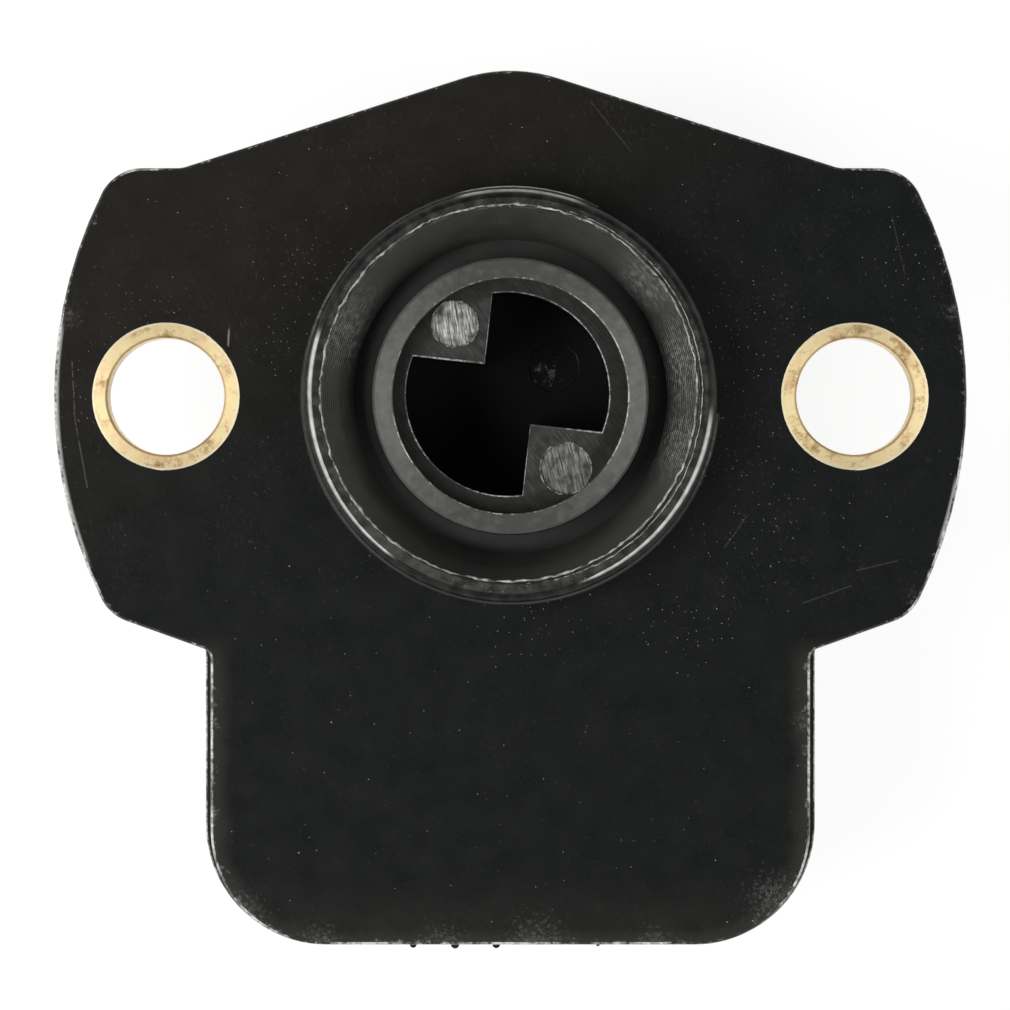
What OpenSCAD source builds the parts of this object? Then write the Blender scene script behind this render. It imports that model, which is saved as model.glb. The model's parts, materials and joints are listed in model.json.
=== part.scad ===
// Throttle position sensor: a sprung rotor in a moulded housing that reads a throttle shaft's angle.
// The origin is on the rotor axis, in the mounting face. +Z leaves the mounting face towards the
// throttle body, and +Y points away from the connector.

/* [Mounting plate] */
// Distance from a screw hole's centre to the end of its ear
ear_margin = 5.85; // [5:0.05:8]
// How far the plate's rounded top reaches past the round case
roof_margin = 3.82; // [3:0.02:5]
// Radius of the rounded top
roof_round = 8.2; // [6:0.2:10]
// Fall from the rounded top to the ears' flat tops
ear_fall = 5.09; // [4:0.01:6]
// Length of an ear's flat top between its two rounded corners
ear_flat = 1.8; // [0.6:0.1:2.4]
// Radius of the ears' corners
ear_round = 2.4; // [1.8:0.1:3]
// Radius of the soft corner where the roof meets an ear
ear_notch_round = 1.6; // [0.5:0.1:2.5]
// Depth below the rotor axis at which the ears run into the lower section
foot_drop = 13.2; // [12.6:0.1:14]
// Rise of the ears' lower edges, in degrees
foot_slope = 19.7; // [15:0.1:22]
// Radius of the inner corner under each ear
foot_notch_round = 0.6; // [0.3:0.1:1.2]
// How far the lower section reaches past the connector shroud on each side
lower_margin = 6.06; // [5:0.02:8]
// Radius of the two bottom corners
lower_round = 6; // [4:0.2:8]
// Thickness of the rear housing's plate
plate_t = 3.2; // [2.8:0.1:4]
// Thickness of the front housing's flange behind the plate
flange_t = 2; // [1.6:0.1:3]
// How far the flange shows past the plate along the lower section
flange_show = 0.33; // [0.1:0.01:0.6]
// How far the flange stays inside the plate around the ears and roof
flange_inset = 0.15; // [0:0.05:0.4]

/* [Locating collar] */
// Height of the collar above the mounting face
collar_h = 3.8; // [3.4:0.1:5]
// Step down in the collar's radius along its relieved arc
collar_step = 0.17; // [0.05:0.01:0.3]
// Angle at which the relieved arc begins, in degrees from +X
collar_step_from = -5; // [-20:1:20]
// Length of the relieved arc, in degrees
collar_step_span = 70; // [40:1:85]
// Height of the plain band at the collar's tip, which has the smaller radius all round
collar_tip_h = 0.7; // [0.3:0.1:1]
// Width of the collar's flat rim
collar_rim = 0.95; // [0.6:0.05:1.3]
// Width of the recess's floor round the neck
recess_w = 0.96; // [0.7:0.02:1.4]
// Widening of the recess's cone from its foot to the rim
recess_flare = 1.6; // [1:0.05:2.4]
// Depth of the recess's cone below the rim
recess_cone = 3.2; // [2:0.1:3.6]
// Depth of the recess's floor below the mounting face
recess_floor = 0.8; // [0.5:0.1:1.2]

/* [Screw bushings] */
// Radius of a bushing's bore
bushing_bore_r = 3.06; // [2.4:0.01:3.6]
// Thickness of a brass bushing's wall
bushing_wall = 0.79; // [0.5:0.01:1.2]
// Clear wall between a bushing and the round case
bushing_clear = 0.95; // [0.6:0.05:2]
// Chamfer at both ends of the bore
bushing_chamfer = 0.12; // [0.05:0.01:0.3]
// Radial gap left round the moulded-in bushings
insert_gap = 0.02; // [0.01:0.01:0.05]

/* [Rotor] */
// Outer radius of the rotor's neck
neck_r = 7.19; // [6.6:0.01:8.6]
// Radial running clearance between the neck and its bearing
bearing_gap = 0.05; // [0.02:0.01:0.1]
// Thickness of the neck's wall at its rim
rim_wall = 1.06; // [0.8:0.02:1.4]
// Depth of the neck's rim below the collar's rim
rim_recess = 1.2; // [0.6:0.1:1.8]
// Depth of the socket's ledge below the neck's rim
ledge_recess = 1.2; // [0.6:0.1:1.8]
// Bevel round the neck's rim
rim_bevel = 0.12; // [0.05:0.01:0.25]
// Width of the ledge round the shaft socket
ledge_w = 0.83; // [0.6:0.01:1.2]
// Depth of the shaft socket below its ledge
socket_depth = 8.9; // [8:0.1:9.6]
// Offset of the socket's centre from the rotor axis along X
socket_x = -0.15; // [-0.2:0.01:0.2]
// Offset of the socket's centre from the rotor axis along Y
socket_y = 0.1; // [-0.2:0.01:0.2]
// Turn of the two drive tangs about the axis, in degrees
tang_turn = -6.3; // [-15:0.1:15]
// Distance of the tangs' side faces from the socket's centre
tang_side = 1.35; // [1.1:0.05:1.7]
// Distance of the tangs' end faces from the socket's centre
tang_end = 1.42; // [1.1:0.02:1.7]
// Radius of the ejector mark on the upper tang
upper_mark_r = 1.2; // [0.8:0.05:1.3]
// Radius of the ejector mark on the lower tang
lower_mark_r = 1.34; // [0.8:0.02:1.34]
// Distance of the tangs' ejector marks' centres from the wall of the rim
mark_inset = 1.38; // [1.34:0.01:1.8]
// Depth of the ejector marks
mark_depth = 0.1; // [0.05:0.01:0.3]
// Thickness of the rotor's flange
rotor_flange_t = 1.4; // [1.2:0.1:1.6]
// Step in from the neck to the hub that the spring surrounds
hub_step = 0.29; // [0.1:0.01:0.8]
// Length of the hub behind the flange
hub_l = 6.05; // [5.8:0.05:8]
// Axial play of the rotor
axial_play = 0.05; // [0.02:0.01:0.1]
// Thickness of the washer between the flange and the plate
washer_t = 0.3; // [0.2:0.05:0.5]
// Width of the washer's ring
washer_w = 2.76; // [1.5:0.02:3]
// Travel of the rotor from its rest stop to its far stop, in degrees
rotor_travel = 95; // [80:1:110]

/* [Front housing] */
// Radial gap between the rotor's flange and the case
flange_gap = 1; // [0.9:0.05:1.6]
// Thickness of the round case's wall
case_wall = 1.6; // [1.3:0.05:2.4]
// Thickness of the case's floor
case_floor = 2.2; // [1.8:0.1:2.4]
// Bevel round the case's outer floor
case_bevel = 0.9; // [0.3:0.1:1.4]
// Width of the connector shroud's cavity
plug_w = 16.4; // [15:0.1:17]
// Height of the connector shroud's cavity
plug_h = 9.4; // [9.2:0.1:9.8]
// Depth of the connector shroud's cavity from its mouth
plug_depth = 14.1; // [12:0.1:18]
// Thickness of the wall between the connector's cavity and the case's
plug_wall = 3.06; // [2.4:0.02:4]
// Thickness of the shroud's walls
shroud_wall = 1.4; // [1.1:0.1:1.6]
// Radius of the cavity's two outer corners
plug_round = 1.2; // [0.6:0.1:2]
// Height of the locking ramp on the shroud
latch_h = 0.8; // [0.4:0.1:0.8]
// Width of the locking ramp
latch_w = 5; // [3:0.1:8]
// Length of the locking ramp
latch_l = 3.4; // [2.4:0.1:4]

/* [Terminals] */
// Distance between neighbouring terminals
terminal_pitch = 4; // [3.6:0.05:4.2]
// Width of a terminal blade
terminal_w = 1.5; // [1.2:0.05:1.8]
// Thickness of a terminal blade
terminal_t = 0.64; // [0.5:0.02:0.8]
// Length of the blades that stands free in the shroud
blade_l = 8.6; // [6:0.1:9.6]

/* [Sensing element] */
// Radial gap between the ceramic board and the case
board_gap = 0.9; // [0.8:0.05:1.4]
// Thickness of the ceramic board
board_t = 0.8; // [0.6:0.05:0.9]
// Thickness of the printed tracks and pads
print_t = 0.05; // [0.03:0.01:0.1]
// Width of bare board between the pin's boss and the collector track
collector_margin = 1.2; // [1:0.05:1.3]
// Width of bare board between the two tracks
track_space = 1; // [0.8:0.05:1.1]
// Width of each track
track_w = 1; // [0.8:0.05:1.2]
// How far the carrier disc reaches past the resistive track
carrier_margin = 1.3; // [1:0.05:1.5]
// Thickness of the carrier disc
carrier_t = 1; // [0.8:0.05:1.4]
// Height of the carrier disc above the tracks
wiper_gap = 1.75; // [1.4:0.05:2.4]

/* [Return spring] */
// Wire diameter of the return spring
wire_d = 0.7; // [0.5:0.05:0.8]
// Gap between the coils and the hub
coil_gap = 0.75; // [0.4:0.05:1]
// Radial room outside the coils before the rotor's hook
hook_gap = 0.9; // [0.7:0.05:1.2]
// Length of the hook along the flange's radius, with the flange's rim
hook_l = 1.35; // [1:0.05:2]
// Number of coils
coil_turns = 4.25; // [3.25:1:4.25]

/* [Hidden] */
$fn = 96;

// Overlap that keeps a cut or a join from ending exactly on a face
skin = 0.1;
// Angle between neighbouring points on a rounded outline
arc_step = 4;
// Clearance between a part that is laid in place and its seat
seat_gap = 0.05;

// Levels, from the mounting face down
cavity_top = -plate_t;
flange_back = -plate_t - flange_t;
collar_top = collar_h;
rim_top = collar_top - rim_recess;
ledge_z = rim_top - ledge_recess;
socket_floor = ledge_z - socket_depth;
washer_back = cavity_top - washer_t;
rotor_flange_top = washer_back - axial_play;
rotor_flange_back = rotor_flange_top - rotor_flange_t;
hub_foot = rotor_flange_back - hub_l;
carrier_back = hub_foot - carrier_t;
print_top = carrier_back - wiper_gap;
board_top = print_top - print_t;
cavity_floor = board_top - board_t;
case_back = cavity_floor - case_floor;

// Radii of the rotor, from its socket out to the stop lug's case
rim_bore_r = neck_r - rim_wall;
socket_r = rim_bore_r - ledge_w;
mark_reach = rim_bore_r - mark_inset;
hub_r = neck_r - hub_step;
coil_r = hub_r + coil_gap + wire_d / 2;
hook_inner_r = coil_r + wire_d / 2 + hook_gap;
flange_r = hook_inner_r + hook_l;
cavity_r = flange_r + flange_gap;
case_r = cavity_r + case_wall;
board_r = cavity_r - board_gap;

// Radii of the bearing, the recess and the collar, whose tip and relieved arc are smaller
bearing_r = neck_r + bearing_gap;
recess_r = bearing_r + recess_w;
collar_tip_r = recess_r + recess_flare + collar_rim;
collar_r = collar_tip_r + collar_step;
collar_band_h = collar_h - collar_tip_h;

// Screw holes, which stand clear of the case on both sides
bushing_r = bushing_bore_r + bushing_wall;
bushing_seat_r = bushing_r + insert_gap;
screw_spacing = 2 * (case_r + bushing_clear + bushing_r);
screw_head_room = 1.4;

// Outline of the mounting plate
ear_reach = screw_spacing / 2 + ear_margin;
roof_height = case_r + roof_margin;
ear_top = roof_height - ear_fall;

// Connector, whose mouth shows a little below the plate
plug_back = -cavity_r - plug_wall;
mouth_y = plug_back - plug_depth;
mouth_show = flange_show / 3;
lower_drop = -mouth_y - mouth_show;
plug_ceiling = flange_back;
plug_floor = plug_ceiling - plug_h;
shroud_w = plug_w + 2 * shroud_wall;
lower_width = shroud_w + 2 * lower_margin;
shroud_back = plug_floor - shroud_wall;
blade_z = (plug_ceiling + plug_floor) / 2;

// Small nubs that the mould leaves on the bottom edge, from the left: place along x and radius
nubs = [[-5.1, 0.18], [-2.9, 0.22], [-0.74, 0.2], [4.6, 0.1]];

// Heat stakes that join the two housings: two above the case and four beside the connector
stake_r = 1;
stake_head_r = 1.7;
stake_head_h = 0.6;
stake_edge = 2.7;
stake_case_gap = 0.45;
upper_stake_angle = 46.3;
stake_side = lower_width / 2 - stake_edge;
upper_stake = (case_r + stake_case_gap + stake_head_r) * [cos(upper_stake_angle), sin(upper_stake_angle)];
stake_places = [
    for (side = [-1, 1])
        each [
            [side * stake_side, -lower_drop + lower_round],
            [side * stake_side, -foot_drop - stake_edge],
            [side * upper_stake[0], upper_stake[1]]
        ]
];

// Ribs inside the case stop the rotor and hold the spring
rib_depth = 0.7;
rib_inner_r = cavity_r - rib_depth;
lug_half = 8;
lug_angle = 150;
lug_drop = 0.2;
stop_gap = 1.5;
stop_rib_half = 3;
stop_rib_top = cavity_top - 0.5;
spigot_h = 0.4;
spigot_w = 0.6;

// Pilot pin, the boss that holds it and the disc's bore round them
pin_r = 2;
pin_top = socket_floor - 1.3;
pin_seat = 0.5;
boss_r = pin_r + 1.4;
boss_top = carrier_back - 0.6;
carrier_bore_r = boss_r + 0.4;
collector_r = boss_r + collector_margin + track_w / 2;
resistive_r = collector_r + track_w + track_space;
carrier_r = resistive_r + track_w / 2 + carrier_margin;
carrier_gap = 0.35;
peg_r = 0.8;
peg_head_r = 1.2;
peg_head_h = 0.5;
peg_reach = (carrier_bore_r + hub_r) / 2;

// The wiper's angle when the rotor rests, and the ends of the resistive track
wiper_angle = 60;
track_gap = 30;
track_from = -90 + track_gap;
track_span = 360 - 2 * track_gap;
wiper_plate_t = 0.2;
wiper_plate_half = 10;
wiper_plate_back = 23;
wiper_plate_margin = 0.5;
finger_w = 0.3;
finger_t = 0.15;
finger_lift = 0.03;
finger_count = 2;
finger_pitch = 0.5;
finger_slope = 32;

// Where the terminals come down behind the wall and step onto the board
row_half_w = terminal_pitch + terminal_w / 2;
leg_y = -sqrt(pow(cavity_r, 2) - pow(row_half_w, 2)) + seat_gap + terminal_t;
foot_y = -resistive_r - track_w / 2 - 1;
pad_margin = 0.2;
pad_outer_y = -sqrt(pow(board_r, 2) - pow(row_half_w + pad_margin, 2)) + 0.1;
lead_w = 1.2;

// Grommet that seals the terminals in the wall behind the connector
grommet_l = 1.6;
grommet_h = 3;
grommet_margin = 1.4;
grommet_w = 2 * terminal_pitch + terminal_w + 2 * grommet_margin;

// Housing seal between the flange and the plate
seal_r = (cavity_r + case_r) / 2;
seal_w = 0.9;
seal_h = 0.8;

// Spring levels and ends: the lower leg bears on a post, the upper leg on the rotor
coil_end_gap = 0.35;
coil_foot_gap = 0.9;
coil_top = rotor_flange_back - wire_d / 2 - coil_end_gap;
coil_foot = hub_foot + wire_d / 2 + coil_foot_gap;
coil_steps = 24;
wire_sides = 8;
bend_r = 0.9;
bend_steps = 5;
leg_end_r = flange_r - 0.1;
lower_leg_angle = 20;
upper_leg_angle = lower_leg_angle + 360 * coil_turns;
hook_w = 1.2;
post_inner_r = carrier_r + carrier_gap;

// Room between the rotor and the seal and washer round it, and the groove in the bore that holds
// the seal
seal_gap = 0.3;
rotor_seal_lip = 0.5;
rotor_seal_h = 0.6;
rotor_seal_top = -recess_floor - rotor_seal_lip;
rotor_seal_foot = rotor_seal_top - rotor_seal_h;

// Places of the moulding's ejector marks
upper_mark_angle = 127.7;
lower_mark_angle = -52.5;
floor_mark = [2.3, 1.6];

function polar(r, angle) = [r * cos(angle), r * sin(angle)];

function arc(centre, r, from, to) =
    let (steps = max(2, ceil(abs(to - from) / arc_step)))
    [for (i = [0:steps]) centre + polar(r, from + (to - from) * i / steps)];

function mirrored(points) = [for (i = [len(points) - 1:-1:0]) [-points[i][0], points[i][1]]];

// Centre of an ear corner that touches the ear's end from inside. side is +1 for the upper corner,
// whose edge lies at the given distance above the axis, and -1 for the lower one, turned by slope.
function ear_corner(reach, edge, side, slope) =
    let (
        out = edge - ear_round,
        along = sqrt(pow(reach - ear_round, 2) - out * out)
    )
    [along * cos(slope) - side * out * sin(slope), along * sin(slope) + side * out * cos(slope)];

// Fall, in degrees, of the line that lies on top of one round and then below another to its right
function common_slope(first_c, first_r, next_c, next_r) =
    let (apart = next_c - first_c)
    asin((first_r + next_r) / norm(apart)) - atan2(apart[1], apart[0]);

// Right half of the outline, from the bottom corner up to the middle of the roof. wide is added
// beside the lower section, deep below it, and inset is taken off the ears and the roof.
function half_outline(wide, deep, inset) =
    let (
        reach = ear_reach - inset,
        top = ear_top - inset,
        side_x = lower_width / 2 + wide,
        bottom_y = -lower_drop - deep,
        corner_r = lower_round + wide,
        foot_x = lower_width / 2 + flange_show,
        foot_edge = foot_drop * cos(foot_slope) + foot_x * sin(foot_slope) - inset,
        notch_x = side_x + foot_notch_round,
        notch_y = notch_x * tan(foot_slope) - (foot_edge + foot_notch_round) / cos(foot_slope),
        foot_c = ear_corner(reach, foot_edge, -1, foot_slope),
        top_c = ear_corner(reach, top, 1, 0),
        foot_a = atan2(foot_c[1], foot_c[0]),
        top_a = atan2(top_c[1], top_c[0]),
        roof_c = roof_height - roof_round,
        roof_r = roof_round - inset,
        dip_c = [top_c[0] - ear_flat, top + ear_notch_round],
        roof_slope = common_slope([0, roof_c], roof_r, dip_c, ear_notch_round)
    )
    concat(
        arc([side_x - corner_r, bottom_y + corner_r], corner_r, -90, 0),
        arc([notch_x, notch_y], foot_notch_round, 180, 90 + foot_slope),
        arc(foot_c, ear_round, foot_slope - 90, foot_a),
        arc([0, 0], reach, foot_a + arc_step, top_a - arc_step),
        arc(top_c, ear_round, top_a, 90),
        arc(dip_c, ear_notch_round, -90, -90 - roof_slope),
        arc([0, roof_c], roof_r, 90 - roof_slope, 90 - arc_step / 2)
    );

function outline(wide, deep, inset) =
    let (half = half_outline(wide, deep, inset)) concat(half, mirrored(half));

module both_sides() {
    for (side = [-1, 1]) translate([side * screw_spacing / 2, 0, 0]) children();
}

module sector(inner_r, outer_r, middle, half, bottom, top) {
    translate([0, 0, bottom])
        rotate([0, 0, middle - half])
            rotate_extrude(angle = 2 * half)
                translate([inner_r, 0])
                    square([outer_r - inner_r, top - bottom]);
}

// A flat-ended round bar between two levels
module post(r, bottom, top) {
    translate([0, 0, bottom]) cylinder(r = r, h = top - bottom);
}

module ring(inner_r, outer_r, bottom, top) {
    difference() {
        post(outer_r, bottom, top);
        post(inner_r, bottom - skin, top + skin);
    }
}

module bushing_seats(bottom, top) {
    both_sides() post(bushing_seat_r, bottom, top);
}

// Heat stake from the plate through the flange, with its flattened head behind
module stake() {
    post(stake_r, flange_back - skin, cavity_top + skin);
    post(stake_head_r, flange_back - stake_head_h, flange_back);
}

// Collar section: a relieved tip band, then the full-radius band round most of its wall
module collar_wall() {
    post(collar_tip_r, -skin, collar_top);
    band_half = (360 - collar_step_span) / 2;
    sector(
        collar_tip_r - skin, collar_r,
        collar_step_from - band_half, band_half, -skin, collar_band_h
    );
}

// Turned recess in the collar: a cone, a short straight wall and a flat floor
module collar_recess() {
    rotate_extrude()
        polygon([
            [0, -recess_floor],
            [recess_r, -recess_floor],
            [recess_r, collar_top - recess_cone],
            [collar_tip_r - collar_rim, collar_top],
            [collar_tip_r - collar_rim, collar_top + skin],
            [0, collar_top + skin]
        ]);
}

module rear_housing() {
    color("#1e1f1d") difference() {
        union() {
            translate([0, 0, cavity_top]) linear_extrude(plate_t) polygon(outline(0, 0, 0));
            collar_wall();
            for (place = stake_places) translate([place[0], place[1], 0]) stake();
            ring(
                cavity_r - seat_gap - spigot_w, cavity_r - seat_gap,
                cavity_top - spigot_h, cavity_top + skin
            );
        }
        collar_recess();
        post(bearing_r, cavity_top - skin, 0);
        ring(bearing_r - skin, recess_r, rotor_seal_foot, rotor_seal_top);
        bushing_seats(cavity_top - skin, skin);
    }
}

// Post that holds the spring's lower leg back, standing on the case's floor
module spring_post(gap, bottom) {
    rotate([0, 0, lower_leg_angle])
        translate([post_inner_r - gap, wire_d / 2 + seat_gap - bend_r - gap, bottom])
            cube([cavity_r - post_inner_r + skin, hook_w + 2 * gap, coil_foot + wire_d - bottom]);
}

// Inside of the case: the cavity with its stop ribs, spring post and board key left standing
module case_cavity() {
    difference() {
        post(cavity_r, cavity_floor, cavity_top + skin);
        for (angle = [
            lug_angle - lug_half - stop_gap - stop_rib_half,
            lug_angle + lug_half + rotor_travel + stop_gap + stop_rib_half
        ])
            sector(rib_inner_r, cavity_r + skin, angle, stop_rib_half, cavity_floor, stop_rib_top);
        spring_post(0, cavity_floor);
        post(boss_r, cavity_floor - skin, boss_top);
    }
}

// Rounded section of the connector shroud, drawn along the connector's axis
module shroud_section(width, floor_z, top_z, corner) {
    polygon(concat(
        [[-width / 2, top_z]],
        arc([-width / 2 + corner, floor_z + corner], corner, 180, 270),
        arc([width / 2 - corner, floor_z + corner], corner, 270, 360),
        [[width / 2, top_z]]
    ));
}

module along_plug(from_y, to_y) {
    translate([0, to_y, 0]) rotate([90, 0, 0]) linear_extrude(to_y - from_y) children();
}

// Locking ramp on the shroud: the plug's latch rides up it and drops behind it
module latch_ramp() {
    translate([-latch_w / 2, mouth_y + shroud_wall, 0])
        rotate([90, 0, 90])
            linear_extrude(latch_w)
                polygon([
                    [0, shroud_back + skin],
                    [0, shroud_back],
                    [latch_l, shroud_back - latch_h],
                    [latch_l + latch_h, shroud_back - latch_h],
                    [latch_l + latch_h, shroud_back + skin]
                ]);
}

// Guide rails along both sides of the shroud
module guide_rails() {
    rail_w = 0.8;
    rail_h = 2;
    rail_l = plug_depth - 4;
    for (side = [-1, 1])
        translate([side * shroud_w / 2 - rail_w, mouth_y, blade_z - rail_h / 2])
            cube([2 * rail_w, rail_l, rail_h]);
}

// Webs that brace the flange against the case above the ears
module gussets() {
    web_t = 1.2;
    web_h = 5;
    web_l = roof_margin - 0.82;
    for (angle = [66, 90, 114])
        rotate([90, 0, angle])
            translate([case_r - skin, 0, -web_t / 2])
                linear_extrude(web_t)
                    polygon([
                        [0, flange_back + skin],
                        [0, flange_back - web_h],
                        [web_l * 0.2, flange_back - web_h],
                        [web_l, flange_back - web_h * 0.2],
                        [web_l, flange_back + skin]
                    ]);
}

module terminal_slots(gap) {
    for (i = [-1:1])
        translate([
            i * terminal_pitch - terminal_w / 2 - gap,
            plug_back - skin,
            blade_z - terminal_t / 2 - gap
        ])
            cube([terminal_w + 2 * gap, leg_y - plug_back + skin, terminal_t + 2 * gap]);
}

module front_housing() {
    color("#1b1c1a") difference() {
        union() {
            translate([0, 0, flange_back])
                linear_extrude(flange_t)
                    polygon(outline(flange_show, mouth_show, flange_inset));
            rotate_extrude()
                polygon([
                    [0, case_back],
                    [case_r - case_bevel, case_back],
                    [case_r, case_back + case_bevel],
                    [case_r, flange_back + skin],
                    [0, flange_back + skin]
                ]);
            along_plug(mouth_y, 0)
                shroud_section(shroud_w, shroud_back, flange_back + skin, plug_round + shroud_wall);
            latch_ramp();
            guide_rails();
            gussets();
            for (nub = nubs)
                translate([nub[0], mouth_y, 0]) post(nub[1], flange_back, cavity_top);
        }
        case_cavity();
        along_plug(mouth_y - skin, plug_back)
            shroud_section(plug_w, plug_floor, plug_ceiling, plug_round);
        bushing_seats(flange_back - skin, cavity_top + skin);
        both_sides() post(bushing_r + screw_head_room, case_back - skin, flange_back);
        for (place = stake_places)
            translate([place[0], place[1], 0])
                post(stake_r + seat_gap, flange_back - skin, cavity_top + skin);
        ring(
            seal_r - seal_w / 2 - seat_gap, seal_r + seal_w / 2 + seat_gap,
            cavity_top - seal_h, cavity_top + skin
        );
        post(pin_r + insert_gap, case_back + pin_seat, boss_top + skin);
        terminal_slots(insert_gap);
        grommet_block(seat_gap);
    }
}

// Block of sealant behind the connector, in a pocket that opens into its cavity
module grommet_block(gap) {
    translate([-grommet_w / 2 - gap, plug_back - skin, blade_z - grommet_h / 2 - gap])
        cube([grommet_w + 2 * gap, grommet_l + gap + skin, grommet_h + 2 * gap]);
}

module terminal_seal() {
    color("#45484a") difference() {
        translate([-grommet_w / 2, plug_back, blade_z - grommet_h / 2])
            cube([grommet_w, grommet_l, grommet_h]);
        terminal_slots(insert_gap);
    }
}

module housing_seal() {
    color("#3a3a3c") ring(seal_r - seal_w / 2, seal_r + seal_w / 2, cavity_top - seal_h, cavity_top);
}

// Turned brass bushing, flush with the plate and the flange
module bushing() {
    color("#d8b868") rotate_extrude()
        polygon([
            [bushing_bore_r + bushing_chamfer, 0],
            [bushing_r, 0],
            [bushing_r, flange_back],
            [bushing_bore_r + bushing_chamfer, flange_back],
            [bushing_bore_r, flange_back + bushing_chamfer],
            [bushing_bore_r, -bushing_chamfer]
        ]);
}

module left_bushing() {
    translate([-screw_spacing / 2, 0, 0]) bushing();
}

module right_bushing() {
    translate([screw_spacing / 2, 0, 0]) bushing();
}

// Outer form of the rotor: the neck with its bevelled rim, the flange and the hub
module rotor_body() {
    rotate_extrude()
        polygon([
            [0, hub_foot],
            [hub_r, hub_foot],
            [hub_r, rotor_flange_back],
            [flange_r, rotor_flange_back],
            [flange_r, rotor_flange_top],
            [neck_r, rotor_flange_top],
            [neck_r, rim_top - rim_bevel],
            [neck_r - rim_bevel, rim_top],
            [0, rim_top]
        ]);
}

// The two tangs that drive the rotor fill opposite quarters of the socket
module tang_quarters() {
    for (turn = [0, 180])
        rotate([0, 0, turn])
            translate([tang_side, -2 * socket_r, socket_floor - skin])
                cube([2 * socket_r, 2 * socket_r - tang_end, ledge_z - socket_floor + skin]);
}

module shaft_socket() {
    translate([socket_x, socket_y, 0])
        difference() {
            post(socket_r, socket_floor, ledge_z + skin);
            rotate([0, 0, tang_turn]) tang_quarters();
        }
}

// Peg and head that hold the wiper's carrier under the hub
module carrier_peg() {
    post(peg_r, carrier_back - skin, hub_foot + skin);
    post(peg_head_r, carrier_back - peg_head_h, carrier_back);
}

module at_carrier_pegs() {
    for (side = [-90, 90])
        rotate([0, 0, wiper_angle + side]) translate([peg_reach, 0, 0]) children();
}

// Hook under the flange that the spring's upper leg pushes back to the rest stop
module spring_hook() {
    rotate([0, 0, upper_leg_angle])
        translate([hook_inner_r, bend_r - wire_d / 2 - seat_gap - hook_w, coil_top - wire_d])
            cube([flange_r - hook_inner_r - skin, hook_w, rotor_flange_back - coil_top + wire_d + skin]);
}

// Lug on the flange's edge that meets the stop ribs at both ends of the travel
module stop_lug() {
    sector(
        flange_r - skin, rib_inner_r + rib_depth / 2, lug_angle, lug_half,
        rotor_flange_back, rotor_flange_top - lug_drop
    );
}

module ejector_mark(place, r, level) {
    translate([place[0], place[1], 0]) post(r, level - mark_depth, level + skin);
}

module rotor() {
    color("#4c4e4c") {
        difference() {
            union() {
                rotor_body();
                stop_lug();
                spring_hook();
                at_carrier_pegs() carrier_peg();
            }
            post(rim_bore_r, ledge_z, rim_top + skin);
            shaft_socket();
            post(pin_r + bearing_gap, hub_foot - skin, pin_top + seat_gap);
            ejector_mark(polar(mark_reach, upper_mark_angle), upper_mark_r, ledge_z);
            ejector_mark(polar(mark_reach, lower_mark_angle), lower_mark_r, ledge_z);
            ejector_mark(floor_mark, lower_mark_r, socket_floor);
        }
    }
}

module rotor_seal() {
    color("#2b2b2d")
        ring(bearing_r + seal_gap, recess_r - seat_gap, rotor_seal_foot, rotor_seal_top - seat_gap);
}

module thrust_washer() {
    color("#e8e6df")
        ring(bearing_r + seal_gap, bearing_r + seal_gap + washer_w, washer_back, cavity_top);
}

module pilot_pin() {
    color("#b9bcc0") post(pin_r, case_back + pin_seat, pin_top);
}

module wiper_carrier() {
    color("#e6dcc4") difference() {
        post(carrier_r, carrier_back, hub_foot);
        post(carrier_bore_r, carrier_back - skin, hub_foot + skin);
        at_carrier_pegs() post(peg_r + seat_gap, carrier_back - skin, hub_foot + skin);
    }
}

// Fingers bent down from the wiper's plate, with their tips in line on one track
module fingers(mean_r) {
    drop = carrier_back - wiper_plate_t - print_top - finger_lift;
    for (i = [0:finger_count - 1])
        rotate([0, 0, wiper_angle])
            translate([
                mean_r + (i - (finger_count - 1) / 2) * finger_pitch - finger_w / 2,
                -drop / tan(finger_slope),
                carrier_back - wiper_plate_t
            ])
                rotate([-finger_slope, 0, 0])
                    cube([finger_w, drop / sin(finger_slope), finger_t]);
}

module wiper_contact() {
    color("#cda35a") {
        sector(
            collector_r - wiper_plate_margin, resistive_r + track_w / 2 + wiper_plate_margin,
            wiper_angle - wiper_plate_back, wiper_plate_half,
            carrier_back - wiper_plate_t, carrier_back
        );
        fingers(resistive_r);
        fingers(collector_r);
    }
}

module element_board() {
    color("#e9e4d6") difference() {
        post(board_r, cavity_floor, board_top);
        post(boss_r + seat_gap, cavity_floor - skin, board_top + skin);
        spring_post(seat_gap, cavity_floor - skin);
    }
}

module track(mean_r, middle, half) {
    sector(mean_r - track_w / 2, mean_r + track_w / 2, middle, half, board_top, print_top);
}

module resistive_track() {
    color("#24262a") track(resistive_r, track_from + track_span / 2, track_span / 2);
}

module collector_track() {
    color("#aeb1b5") track(collector_r, 0, 180);
}

// Silver pads under the terminals' feet, each with a lead to its track
module conductor_pads() {
    pad_w = terminal_w + 2 * pad_margin;
    color("#c9ccd0") difference() {
        for (i = [-1:1])
            translate([i * terminal_pitch, 0, board_top]) {
                lead_end = i == 0 ? -collector_r : -resistive_r * cos(track_gap);
                translate([-pad_w / 2, pad_outer_y, 0]) cube([pad_w, foot_y - pad_outer_y, print_t]);
                translate([-lead_w / 2, foot_y - skin, 0]) cube([lead_w, lead_end - foot_y + skin, print_t]);
            }
        post(collector_r + track_w / 2, board_top - skin, print_top + skin);
        sector(
            resistive_r - track_w / 2, resistive_r + track_w / 2,
            track_from + track_span / 2, track_span / 2, board_top - skin, print_top + skin
        );
    }
}

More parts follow.
